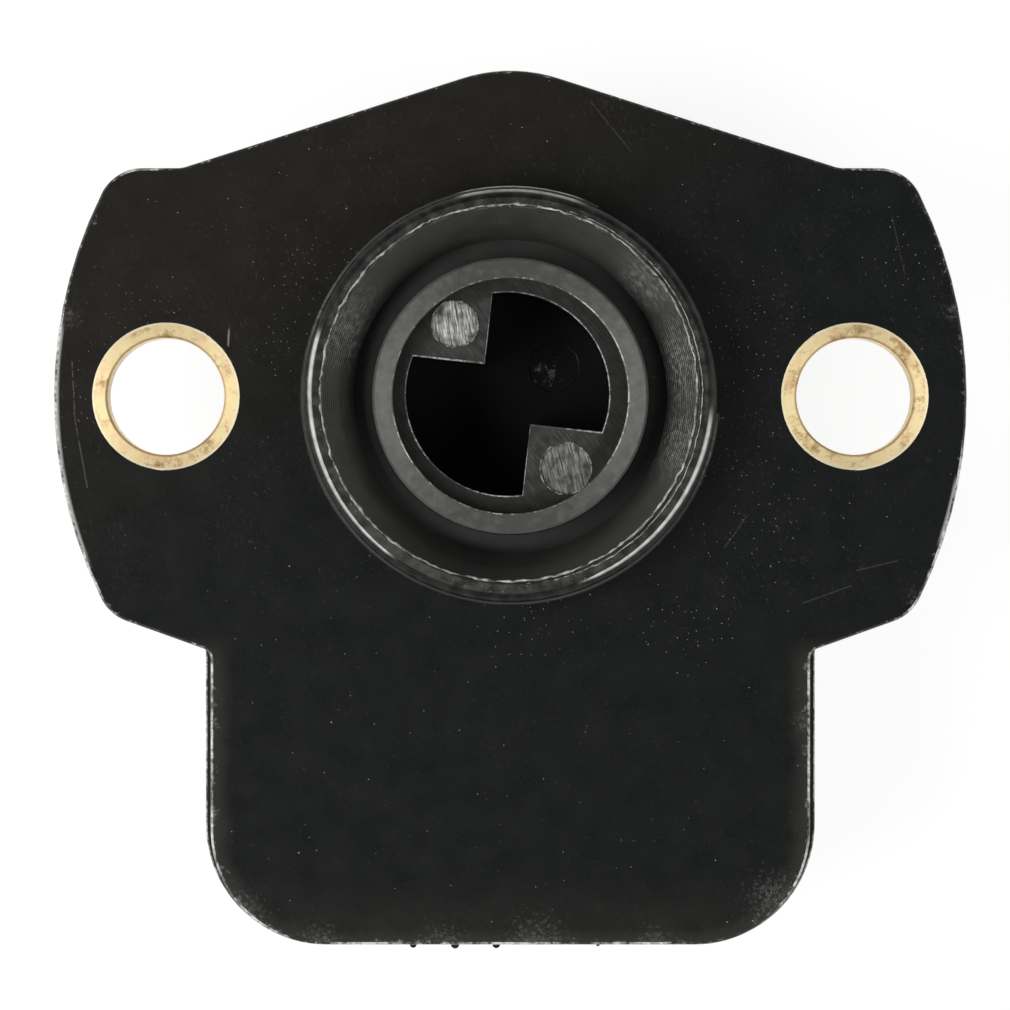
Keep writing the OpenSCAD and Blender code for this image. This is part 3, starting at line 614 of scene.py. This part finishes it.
def hairline(tree, place_mm, start, end, width, strength):
    """A straight scratch between two places on the mounting face, broken up by a noise along it."""
    run = (end[0] - start[0], end[1] - start[1], 0)
    length_squared = run[0] ** 2 + run[1] ** 2
    away = add(tree, "VectorMath", {0: place_mm, 1: (*start, 0)}, operation="SUBTRACT")
    along = add(tree, "VectorMath", {0: away, 1: run}, out="Value", operation="DOT_PRODUCT")
    share = add(tree, "Math", {0: along, 1: length_squared}, operation="DIVIDE", use_clamp=True)
    foot = add(tree, "VectorMath", {0: run, "Scale": share}, operation="SCALE")
    gap = add(tree, "VectorMath", {0: away, 1: foot}, out="Value", operation="DISTANCE")
    line = add(
        tree, "MapRange",
        {"Value": gap, "From Min": 0.0, "From Max": width, "To Min": strength, "To Max": 0.0},
    )
    broken = add(tree, "TexNoise", {"Vector": place_mm, "Scale": 3.0, "Detail": 5.0})
    broken = add(tree, "MapRange", {"Value": broken, "From Min": 0.35, "From Max": 0.5})
    return add(tree, "Math", {0: line, 1: broken}, operation="MULTIPLY")


def fine_marks(tree, place_mm, lean, width, length, least, strength):
    """Hair-fine rubs, width by length millimetres, that lean by so many degrees, in loose patches."""
    turned = add(
        tree, "VectorRotate", {"Vector": place_mm, "Angle": -math.radians(lean)},
        rotation_type="Z_AXIS",
    )
    drawn = add(
        tree, "VectorMath", {0: turned, 1: (1 / width, 1 / length, 0.0)}, operation="MULTIPLY"
    )
    lines = add(tree, "TexNoise", {"Vector": drawn, "Scale": 1.0, "Detail": 2.0})
    lines = add(tree, "MapRange", {"Value": lines, "From Min": least, "From Max": least + 0.08})
    patch = add(tree, "TexNoise", {"Vector": turned, "Scale": 0.22, "Detail": 3.0})
    patch = add(
        tree, "MapRange", {"Value": patch, "From Min": 0.48, "From Max": 0.62, "To Max": strength}
    )
    return add(tree, "Math", {0: lines, 1: patch}, operation="MULTIPLY")


def dust(tree, place_mm, density, cell, size):
    """Pale specks: one in some of the cells of a grid, all sizes in millimetres."""
    cells = {"Vector": place_mm, "Scale": 1 / cell, "Randomness": 1.0}
    away = add(tree, "TexVoronoi", cells, out="Distance", voronoi_dimensions="2D")
    chance = add(tree, "TexVoronoi", cells, out="Color", voronoi_dimensions="2D")
    there = add(
        tree, "Math",
        {0: add(tree, "SeparateXYZ", {0: chance}, out="Z"), 1: density}, operation="LESS_THAN",
    )
    radius = add(
        tree, "MapRange",
        {"Value": add(tree, "SeparateXYZ", {0: chance}, out="Y"),
         "To Min": 0.4 * size / cell, "To Max": size / cell},
    )
    speck = add(
        tree, "MapRange",
        {"Value": away, "From Min": 0.0, "From Max": radius, "To Min": 1.0, "To Max": 0.0},
    )
    return add(tree, "Math", {0: speck, 1: there}, operation="MULTIPLY")


def from_lower_edge(tree, place_mm):
    """Millimetres in from the edge of the plate's lower section, with its rounded corners; 0 on it."""
    middle_y = -10.0
    half = (lower_half - lower_round, lower_drop - lower_round + middle_y, 0)
    away = add(tree, "VectorMath", {0: place_mm, 1: (0, middle_y, 0)}, operation="SUBTRACT")
    away = add(tree, "VectorMath", {0: away, 1: (1, 1, 0)}, operation="MULTIPLY")
    away = add(tree, "VectorMath", {0: away}, operation="ABSOLUTE")
    away = add(tree, "VectorMath", {0: away, 1: half}, operation="SUBTRACT")
    away = add(tree, "VectorMath", {0: away, 1: (0, 0, 0)}, operation="MAXIMUM")
    away = add(tree, "VectorMath", {0: away}, out="Value", operation="LENGTH")
    return add(tree, "Math", {0: lower_round, 1: away}, operation="SUBTRACT")


# Black nylon from a polished mould: nearly black, smooth and even, a little warmer towards the
# upper left ear. Pale dust and hairlines catch the eye, a warm band lies inside the lower edges,
# and wear has bitten in from the corners.
face_black, tree, shader, place_mm = new_material("black_nylon_polished_face")
lean = add(tree, "VectorMath", {0: place_mm, 1: (-0.6, 1.0, 0)}, out="Value", operation="DOT_PRODUCT")
lean = add(
    tree, "MapRange", {"Value": lean, "From Min": 0.0, "From Max": 18.0},
    interpolation_type="SMOOTHSTEP",
)
tint = add(
    tree, "Mix", {0: lean, 6: linear("#0b0f0d"), 7: linear("#1b1812")}, out=2, data_type="RGBA"
)
inward = from_lower_edge(tree, place_mm)
down = add(tree, "SeparateXYZ", {0: place_mm}, out="Y")
lower = add(tree, "MapRange", {"Value": down, "From Min": -12.5, "From Max": -14.0})
cloud = add(tree, "TexNoise", {"Vector": place_mm, "Scale": 0.5, "Detail": 6.0, "Roughness": 0.65})
band = add(tree, "Math", {0: cloud, 1: 0.8, 2: 0.25}, operation="MULTIPLY_ADD")
band = add(tree, "Math", {0: inward, 1: band}, operation="DIVIDE")
band = add(
    tree, "MapRange", {"Value": band, "From Min": 0.3, "From Max": 1.7, "To Min": 0.6, "To Max": 0.0}
)
foot = add(tree, "MapRange", {"Value": down, "From Min": -25.0, "From Max": -28.6, "To Max": 0.5})
foot = add(tree, "Math", {0: foot, 1: cloud}, operation="MULTIPLY")
haze = add(tree, "Math", {0: most_of(tree, [band, foot]), 1: lower}, operation="MULTIPLY")
tint = add(tree, "Mix", {0: haze, 6: tint, 7: linear("#3b3932")}, out=2, data_type="RGBA")

# Wear bites in from the ears' round ends and the lower edges, where a noise is past a level that
# falls towards the edge.
from_axis = add(tree, "VectorMath", {0: place_mm, 1: (1, 1, 0)}, operation="MULTIPLY")
from_axis = add(tree, "VectorMath", {0: from_axis}, out="Value", operation="LENGTH")
in_from_ear = add(tree, "Math", {0: ear_r, 1: from_axis}, operation="SUBTRACT")
edge = add(tree, "Mix", {0: lower, 2: in_from_ear, 3: inward}, data_type="FLOAT")
level = add(
    tree, "MapRange", {"Value": edge, "From Min": 0.1, "From Max": 0.8, "To Min": 0.53, "To Max": 0.74}
)
grit = add(tree, "TexNoise", {"Vector": place_mm, "Scale": 1.6, "Detail": 9.0, "Roughness": 0.72})
bitten = add(tree, "Math", {0: grit, 1: level}, operation="SUBTRACT")
bitten = add(tree, "MapRange", {"Value": bitten, "From Min": 0.0, "From Max": 0.16, "To Max": 0.6})

density = add(
    tree, "Math",
    {0: most_of(tree, [
        spot(tree, place_mm, centre, reach) for centre, reach in (
            ((12.6, 3.0), 6.0), ((12.8, -6.0), 6.0), ((9.0, -12.0), 4.0), ((-22.0, -0.5), 3.0),
            ((1.0, -11.6), 4.0), ((14.5, -26.0), 2.0), ((-19.5, 4.2), 3.5), ((-10.4, 6.4), 3.5),
            ((-11.5, 3.0), 3.0), ((21.4, 7.0), 4.0),
        )
    ]), 1: 0.45, 2: 0.02},
    operation="MULTIPLY_ADD",
)
crusted = most_of(tree, [
    spot(tree, place_mm, centre, reach) for centre, reach in (
        ((1.4, -28.6), 2.8), ((-3.5, -28.8), 2.2), ((7.5, -28.8), 2.0), ((13.6, -26.2), 2.4),
        ((15.4, -17.0), 1.2), ((-14.0, -27.0), 2.2), ((-10.0, -28.6), 2.0), ((-23.2, 4.2), 1.2),
        ((23.3, 4.4), 1.1), ((21.6, 10.4), 1.0), ((21.3, -10.6), 1.2),
    )
])
crumbs = add(tree, "TexNoise", {"Vector": place_mm, "Scale": 4.5, "Detail": 6.0, "Roughness": 0.8})
speckled = add(tree, "Math", {0: crusted, 1: 0.16, 2: crumbs}, operation="MULTIPLY_ADD")
speckled = add(tree, "MapRange", {"Value": speckled, "From Min": 0.6, "From Max": 0.82, "To Max": 0.2})
# Fine rubs show on the ears and above the collar, hardly lower down.
upper_marks = add(
    tree, "MapRange", {"Value": down, "From Min": -14.0, "From Max": -8.0, "To Min": 0.02, "To Max": 0.08}
)
# The ears' lower ends are white along the corner: rubbed wear with a painted highlight of the rounded
# corner over it.
rub_and_highlight = add(
    tree, "MapRange",
    {"Value": in_from_ear, "From Min": 0.14, "From Max": 0.3, "To Min": 0.9, "To Max": 0.0},
)
near = most_of(tree, [
    spot(tree, place_mm, centre, reach) for centre, reach in (
        ((-23.7, 2.0), 2.5), ((-23.8, -1.5), 4.0), ((-23.0, -6.0), 4.0), ((22.9, -6.0), 2.5),
    )
])
near = add(tree, "MapRange", {"Value": near, "From Min": 0.1, "From Max": 0.5})
rub_and_highlight = add(tree, "Math", {0: rub_and_highlight, 1: near}, operation="MULTIPLY")
marks = [
    bitten,
    rub_and_highlight,
    speckled,
    dust(tree, place_mm, density, 0.37, 0.036),
    dust(tree, place_mm, 0.06, 1.7, 0.05),
    fine_marks(tree, place_mm, 8, 0.06, 0.6, 0.64, upper_marks),
    fine_marks(tree, place_mm, 52, 0.07, 0.45, 0.64, upper_marks),
]
marks += [
    hairline(tree, place_mm, *scratch) for scratch in (
        ((15.3, -10.8), (17.8, -9.9), 0.05, 0.08),
        ((18.1, -9.1), (20.2, -8.6), 0.05, 0.08),
        ((11.2, -7.9), (12.4, -6.2), 0.05, 0.08),
        ((-14.7, 3.5), (-14.75, 2.6), 0.07, 0.5),
        ((-22.9, 1.8), (-22.75, -1.2), 0.05, 0.15),
        ((-22.75, -1.2), (-22.1, -4.8), 0.05, 0.15),
        ((4.2, 15.4), (6.3, 12.8), 0.05, 0.07),
        ((19.9, 9.6), (20.6, 6.4), 0.05, 0.06),
    )
]
up = add(tree, "SeparateXYZ", {0: add(tree, "NewGeometry", {}, out="Normal")}, out="Z")
marked = add(tree, "Math", {0: up, 1: 0.7}, operation="GREATER_THAN")
marked = add(tree, "Math", {0: most_of(tree, marks), 1: marked}, operation="MULTIPLY")
colour = add(tree, "Mix", {0: marked, 6: tint, 7: linear("#c9cac4")}, out=2, data_type="RGBA")
wave = add(tree, "TexNoise", {"Vector": place_mm, "Scale": 0.6, "Detail": 4.0})
rough = add(tree, "MapRange", {"Value": wave, "To Min": 0.22, "To Max": 0.34})
relief = add(tree, "Bump", {"Height": wave, "Distance": 0.004 * MM, "Strength": 1.0}, out="Normal")
tree.links.new(colour, shader.inputs["Base Color"])
tree.links.new(rough, shader.inputs["Roughness"])
tree.links.new(relief, shader.inputs["Normal"])

# The nylon of the collar's round outer corner, which drags over the throttle body: glossy black, with a
# bright line on the left, on the lower right and at the top, a little off the collar's axis, that is a
# painted highlight along the rubbed rounding where the lamps would catch it.
line_centre = (0.024, 0.158, 0)
collar_highlight_black, tree, shader, place_mm = new_material("black_nylon_collar_rim_painted_highlight")
off_axis = add(tree, "VectorMath", {0: place_mm, 1: line_centre}, operation="SUBTRACT")
off_axis = add(tree, "VectorMath", {0: off_axis, 1: (1, 1, 0)}, operation="MULTIPLY")
off_axis = add(tree, "VectorMath", {0: off_axis}, out="Value", operation="LENGTH")
mottle = add(tree, "TexNoise", {"Vector": place_mm, "Scale": 1.6, "Detail": 6.0})
rub_and_highlight = None
# Painted highlight lines, each at a radius and brightest about the listed turns.
for line_r, half_width, places in (
    (10.45, 0.14, ((168, 1.6), (180, 3.2), (196, 3.2), (212, 3.0), (226, 1.8), (300, 2.0), (316, 3.2),
                   (332, 3.2), (345, 2.4))),
    (10.61, 0.2, ((76, 1.6), (83, 2.6), (91, 2.6), (98, 1.6))),
):
    line = add(tree, "Math", {0: off_axis, 1: line_r}, operation="SUBTRACT")
    line = add(tree, "Math", {0: line}, operation="ABSOLUTE")
    line = add(
        tree, "MapRange",
        {"Value": line, "From Min": 0.3 * half_width, "From Max": half_width,
         "To Min": 1.0, "To Max": 0.0},
    )
    near = most_of(tree, [
        spot(
            tree, place_mm,
            (line_r * math.cos(math.radians(turn)), line_r * math.sin(math.radians(turn))), reach,
        )
        for turn, reach in places
    ])
    near = add(tree, "MapRange", {"Value": near, "From Min": 0.0, "From Max": 0.5})
    line = add(tree, "Math", {0: line, 1: near}, operation="MULTIPLY")
    rub_and_highlight = line if rub_and_highlight is None else most_of(tree, [rub_and_highlight, line])
thin = add(tree, "MapRange", {"Value": mottle, "From Min": 0.3, "From Max": 0.6, "To Min": 0.6})
rub_and_highlight = add(tree, "Math", {0: rub_and_highlight, 1: thin}, operation="MULTIPLY")
mottle = add(tree, "MapRange", {"Value": mottle, "From Min": 0.42, "From Max": 0.75})
base = add(
    tree, "Mix", {0: mottle, 6: linear("#0f100e"), 7: linear("#30312e")}, out=2, data_type="RGBA"
)
colour = add(tree, "Mix", {0: rub_and_highlight, 6: base, 7: linear("#d9dad4")}, out=2, data_type="RGBA")
tree.links.new(colour, shader.inputs["Base Color"])
shader.inputs["Roughness"].default_value = 0.35
shader.inputs["Specular IOR Level"].default_value = 0.25

# The recess's cone, turned in a lathe: matt charcoal with fine rings, with painted glints that make the
# rings pale in patches towards the upper left and the right, and painted shade that makes it darkest at
# its foot and low on its wall and a little darker at its upper side. The rings of a real cut, about 0.05
# mm apart, would be too fine to show, so they are drawn coarser.
ring_rise = 0.19
turned_black, tree, shader, place_mm = new_material("black_nylon_turned_recess")
height = add(tree, "SeparateXYZ", {0: place_mm}, out="Z")
rings = add(tree, "Math", {0: height, 1: 2 * math.pi / ring_rise}, operation="MULTIPLY")
rings = add(tree, "Math", {0: rings}, operation="SINE")
# Painted glints: pale patches of the turned rings towards the upper left and the right.
torn = add(tree, "TexNoise", {"Vector": place_mm, "Scale": 3.5, "Detail": 7.0, "Roughness": 0.7})
torn = add(tree, "Math", {0: rings, 1: 0.1, 2: torn}, operation="MULTIPLY_ADD")
torn = add(tree, "MapRange", {"Value": torn, "From Min": 0.48, "From Max": 0.7})
near = most_of(tree, [
    spot(tree, place_mm, centre, reach)
    for centre, reach in (((-8.4, 3.8), 3.4), ((8.9, 1.6), 3.8), ((7.2, 6.0), 2.4), ((9.0, -2.5), 3.0))
])
torn = add(tree, "Math", {0: torn, 1: near}, operation="MULTIPLY")
drift = add(tree, "TexNoise", {"Vector": place_mm, "Scale": 0.8, "Detail": 4.0})
share = add(tree, "Math", {0: rings, 1: 0.2, 2: drift}, operation="MULTIPLY_ADD", use_clamp=True)
colour = add(
    tree, "Mix", {0: share, 6: linear("#2f302d"), 7: linear("#4c4d49")}, out=2, data_type="RGBA"
)
colour = add(tree, "Mix", {0: torn, 6: colour, 7: linear("#a3a49e")}, out=2, data_type="RGBA")
# Painted shade: darkest at the foot, darker on the lower side of the wall and a little darker at the
# upper side.
deep = add(tree, "MapRange", {"Value": height, "From Min": 0.3, "From Max": -0.7, "To Max": 0.45})
low_side_shade = add(tree, "MapRange", {"Value": height, "From Min": 0.6, "From Max": 2.0, "To Max": 0.75})
low_side_shade = add(
    tree, "Math", {0: spot(tree, place_mm, (-2.3, -9.6), 8.0), 1: low_side_shade}, operation="MULTIPLY"
)
far_side_shade = add(
    tree, "Math", {0: spot(tree, place_mm, (-0.6, 9.4), 6.5), 1: 0.3}, operation="MULTIPLY"
)
deep = most_of(tree, [deep, low_side_shade, far_side_shade])
colour = add(tree, "Mix", {0: deep, 6: colour, 7: linear("#0c0d0b")}, out=2, data_type="RGBA")
relief = add(tree, "Bump", {"Height": rings, "Distance": 0.01 * MM, "Strength": 1.0}, out="Normal")
tree.links.new(colour, shader.inputs["Base Color"])
tree.links.new(relief, shader.inputs["Normal"])
shader.inputs["Roughness"].default_value = 0.5

# The collar's flat rim, where the same nylon is mottled charcoal by wear and holds pale dust.
rim_black, tree, shader, place_mm = new_material("black_nylon_collar_rim")
mottle = add(tree, "TexNoise", {"Vector": place_mm, "Scale": 1.6, "Detail": 6.0})
worst = spot(tree, place_mm, (-5.5, -8.6), 8.0)
scuffs = add(tree, "Math", {0: worst, 1: 0.16, 2: mottle}, operation="MULTIPLY_ADD")
mottle = add(tree, "MapRange", {"Value": scuffs, "From Min": 0.42, "From Max": 0.75})
base = add(
    tree, "Mix", {0: mottle, 6: linear("#161715"), 7: linear("#4a4b47")}, out=2, data_type="RGBA"
)
specks = dust(tree, place_mm, 0.3, 0.35, 0.05)
colour = add(tree, "Mix", {0: specks, 6: base, 7: linear("#8d8e88")}, out=2, data_type="RGBA")
tree.links.new(colour, shader.inputs["Base Color"])
shader.inputs["Roughness"].default_value = 0.38

# Torn flash that the mould left along the collar's inner edge, doubled in places: a ragged grey
# line with white bits.
black_flash = chipped("black_nylon_torn_flash", "#4c4d49", "#d3d4ce", 0.6, 0.4, 0.66)
for name, centre, level, ring_r, wire, swell, wander, lean in (
    ("collar_flash", (-0.09, 0.14), collar_top, rim_edge_r - 0.01, 0.055, 0.3, 0.18, 0.0),
    ("collar_flash_outer", (0.05, 0.1), collar_top - 0.07, rim_edge_r + 0.12, 0.03, 0.12, 0.12, 0.8),
):
    bead = ragged_bead(name, centre, level, ring_r, wire, swell, wander, 720, lean)
    dress(bead, "housing", "moulded_black", black_flash)



def on_cone(x, y, z, up):
    return math.hypot(x, y) < rim_edge_r and recess_floor + 0.1 < z < collar_top - 0.05


def on_outer_corner(x, y, z, up):
    return z > collar_top - 0.4 and math.hypot(x, y) > rim_edge_r + 0.4 and up < 0.995


dress(rear, "housing", "moulded_black", face_black, worn_and_highlit_black, turned_black, rim_black, collar_highlight_black)
paint(rear, 2, on_cone)
paint(rear, 2, lambda x, y, z, up: abs(z - recess_floor) < near_enough)
paint(rear, 3, lambda x, y, z, up: z > collar_top - near_enough and up > 0.995)
paint(rear, 4, on_outer_corner)
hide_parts("rear_housing")

# BUSHINGS
# Turned brass bushings, moulded into the ears and faced off flush with the plate. The metal has dulled in
# brown and peach patches, and the outer corner is a pale ring. The bore's chamfer is dark, and the wall
# below it is tinted near white, a painted reflection that makes its mirror of the table show white.
bore_r = 3.06
chamfer = 0.12
brass, tree, shader, place_mm = new_material("brass_turned_and_faced")
side = add(tree, "Math", {0: add(tree, "SeparateXYZ", {0: place_mm}, out="X")}, operation="SIGN")
centre = add(tree, "CombineXYZ", {"X": add(tree, "Math", {0: side, 1: bushing_x}, operation="MULTIPLY")})
to_bore = add(tree, "VectorMath", {0: place_mm, 1: centre}, operation="SUBTRACT")
to_bore = add(tree, "VectorMath", {0: to_bore, 1: (1, 1, 0)}, operation="MULTIPLY")
radius = add(tree, "VectorMath", {0: to_bore}, out="Value", operation="LENGTH")
dull = add(tree, "TexNoise", {"Vector": place_mm, "Scale": 0.9, "Detail": 9.0, "Roughness": 0.75})
tarnish = most_of(tree, [
    spot(tree, place_mm, centre, reach)
    for centre, reach in (
        ((-18.0, -3.6), 1.8), ((-15.9, -2.8), 1.6), ((-18.0, 3.5), 1.2), ((15.4, -2.2), 2.4),
        ((18.3, 3.5), 2.0), ((20.6, 2.4), 1.8), ((15.2, 0.8), 1.4),
    )
])
share = add(tree, "Math", {0: tarnish, 1: -0.07, 2: dull}, operation="MULTIPLY_ADD")
share = add(tree, "MapRange", {"Value": share, "From Min": 0.33, "From Max": 0.48})
peach = add(tree, "TexNoise", {"Vector": place_mm, "Scale": 1.7, "Detail": 5.0})
peach = add(tree, "MapRange", {"Value": peach, "From Min": 0.48, "From Max": 0.62, "To Max": 0.6})
rim = add(
    tree, "MapRange", {"Value": radius, "From Min": bushing_r - 0.15, "From Max": bushing_r - 0.07}
)
bore = add(
    tree, "MapRange",
    {"Value": radius, "From Min": bore_r + 0.14, "From Max": bore_r + 0.07, "To Max": 0.6},
)
height = add(tree, "SeparateXYZ", {0: place_mm}, out="Z")
# Painted reflection: the bore's wall below the chamfer is tinted near white.
wall = add(tree, "MapRange", {"Value": height, "From Min": -chamfer - 0.01, "From Max": -0.3})
colour = add(
    tree, "Mix", {0: share, 6: linear("#b8925e"), 7: linear("#ffeebd")}, out=2, data_type="RGBA"
)
colour = add(tree, "Mix", {0: peach, 6: colour, 7: linear("#ffdcb2")}, out=2, data_type="RGBA")
colour = add(tree, "Mix", {0: rim, 6: colour, 7: linear("#fff4d4")}, out=2, data_type="RGBA")
colour = add(tree, "Mix", {0: bore, 6: colour, 7: linear("#8a6a48")}, out=2, data_type="RGBA")
colour = add(tree, "Mix", {0: wall, 6: colour, 7: linear("#fff2d0")}, out=2, data_type="RGBA")
relief = add(tree, "Bump", {"Height": dull, "Distance": 0.02 * MM, "Strength": 1.0}, out="Normal")
tree.links.new(colour, shader.inputs["Base Color"])
tree.links.new(relief, shader.inputs["Normal"])
tree.links.new(add(tree, "VectorMath", {0: to_bore}, operation="NORMALIZE"), shader.inputs["Tangent"])
shader.inputs["Metallic"].default_value = 1.0
shader.inputs["Roughness"].default_value = 0.62
shader.inputs["Anisotropic"].default_value = 0.5
for node_name in ("left_bushing", "right_bushing"):
    frame["nodes"][node_name].data.materials[0] = brass

# TABLE
# White table with a round surround, which show white and keep a faint shadow. Sizes from here on
# are in metres.
table_r = 3.0
surround_h = 1.5
bpy.ops.object.select_all(action="DESELECT")
bpy.ops.mesh.primitive_cylinder_add(
    vertices=96, radius=table_r, depth=surround_h, end_fill_type="NGON",
    location=(0, 0, cad_low.z + surround_h / 2),
)
table = bpy.context.view_layer.objects.active
table.name = "white_table"
bpy.ops.object.mode_set(mode="EDIT")
mesh = bmesh.from_edit_mesh(table.data)
for face in mesh.faces:
    face.select_set(face.normal.z > 0.5)
bmesh.update_edit_mesh(table.data)
bpy.ops.mesh.delete(type="FACE")
bpy.ops.mesh.select_all(action="SELECT")
bpy.ops.mesh.flip_normals()
bpy.ops.object.mode_set(mode="OBJECT")

# Matt white paint: it shows an even white, and only the shadow under the part tints it.
white, tree, shader, place_mm = new_material("white_table_paint")
shader.inputs["Base Color"].default_value = linear("#e8e8e8")
shader.inputs["Roughness"].default_value = 1.0
shader.inputs["Specular IOR Level"].default_value = 0.0
faint = add(tree, "BsdfDiffuse", {"Color": (0.3, 0.3, 0.3, 1.0)})
glow = add(tree, "Emission", {"Color": (1, 1, 1, 1), "Strength": 0.85})
shown = add(tree, "AddShader", {0: faint, 1: glow})
seen = most_of(tree, [
    add(tree, "LightPath", {}, out=ray)
    for ray in ("Is Camera Ray", "Is Glossy Ray", "Is Transmission Ray")
])
surface = add(tree, "MixShader", {0: seen, 1: shader.outputs[0], 2: shown})
below = add(tree, "NewGeometry", {}, out="Backfacing")
surface = add(tree, "MixShader", {0: below, 1: surface, 2: add(tree, "BsdfTransparent", {})})
tree.links.new(surface, tree.nodes["Material Output"].inputs["Surface"])
table.data.materials.append(white)

# LIGHT
# Dim sky overhead where the camera hangs, brighter towards the sides. A large soft lamp on
# the left and a weaker one on the lower right light the part, and three low strips draw the lines
# along its corners.
world = bpy.data.worlds.new("studio")
world.use_nodes = True
bpy.context.scene.world = world
tree = world.node_tree
height = add(tree, "SeparateXYZ", {0: add(tree, "TexCoord", {}, out="Generated")}, out="Z")
level = add(
    tree, "MapRange",
    {"Value": height, "From Min": 0.45, "From Max": 0.95, "To Min": 0.38, "To Max": 0.1},
    interpolation_type="SMOOTHSTEP",
)
tree.links.new(level, tree.nodes["Background"].inputs["Strength"])
tree.nodes["Background"].inputs["Color"].default_value = (1, 1, 1, 1)

lamp_reach = 0.45
for turn, lean, power, wide, long in (
    (195, 38, 1.15, 0.28, 0.28),
    (328, 40, 0.58, 0.28, 0.28),
    (90, 76, 0.06, 0.08, 0.4),
    (180, 70, 0.3, 0.08, 0.4),
    (0, 72, 0.2, 0.08, 0.4),
):
    lean = math.radians(lean)
    side = math.radians(turn)
    bpy.ops.object.light_add(
        type="AREA",
        location=(
            lamp_reach * math.sin(lean) * math.cos(side),
            lamp_reach * math.sin(lean) * math.sin(side),
            lamp_reach * math.cos(lean),
        ),
        rotation=(0, lean, side),
    )
    lamp = bpy.context.view_layer.objects.active
    lamp.data.shape = "RECTANGLE"
    lamp.data.size = wide
    lamp.data.size_y = long
    lamp.data.energy = power
    lamp.visible_camera = False

# CAMERA
# A long lens straight above the mounting face, as in the photograph.
camera_reach = 0.6
view_width = 0.05277
sensor_width = 36
bpy.ops.object.camera_add(location=(-0.28 * MM, -5.68 * MM, camera_reach), rotation=(0, 0, 0))
camera = bpy.context.view_layer.objects.active
camera.data.sensor_width = sensor_width
camera.data.lens = sensor_width * camera_reach / view_width
camera.data.clip_start = 0.01
camera.data.clip_end = 20
bpy.context.scene.camera = camera
bpy.context.scene.view_settings.view_transform = "Standard"
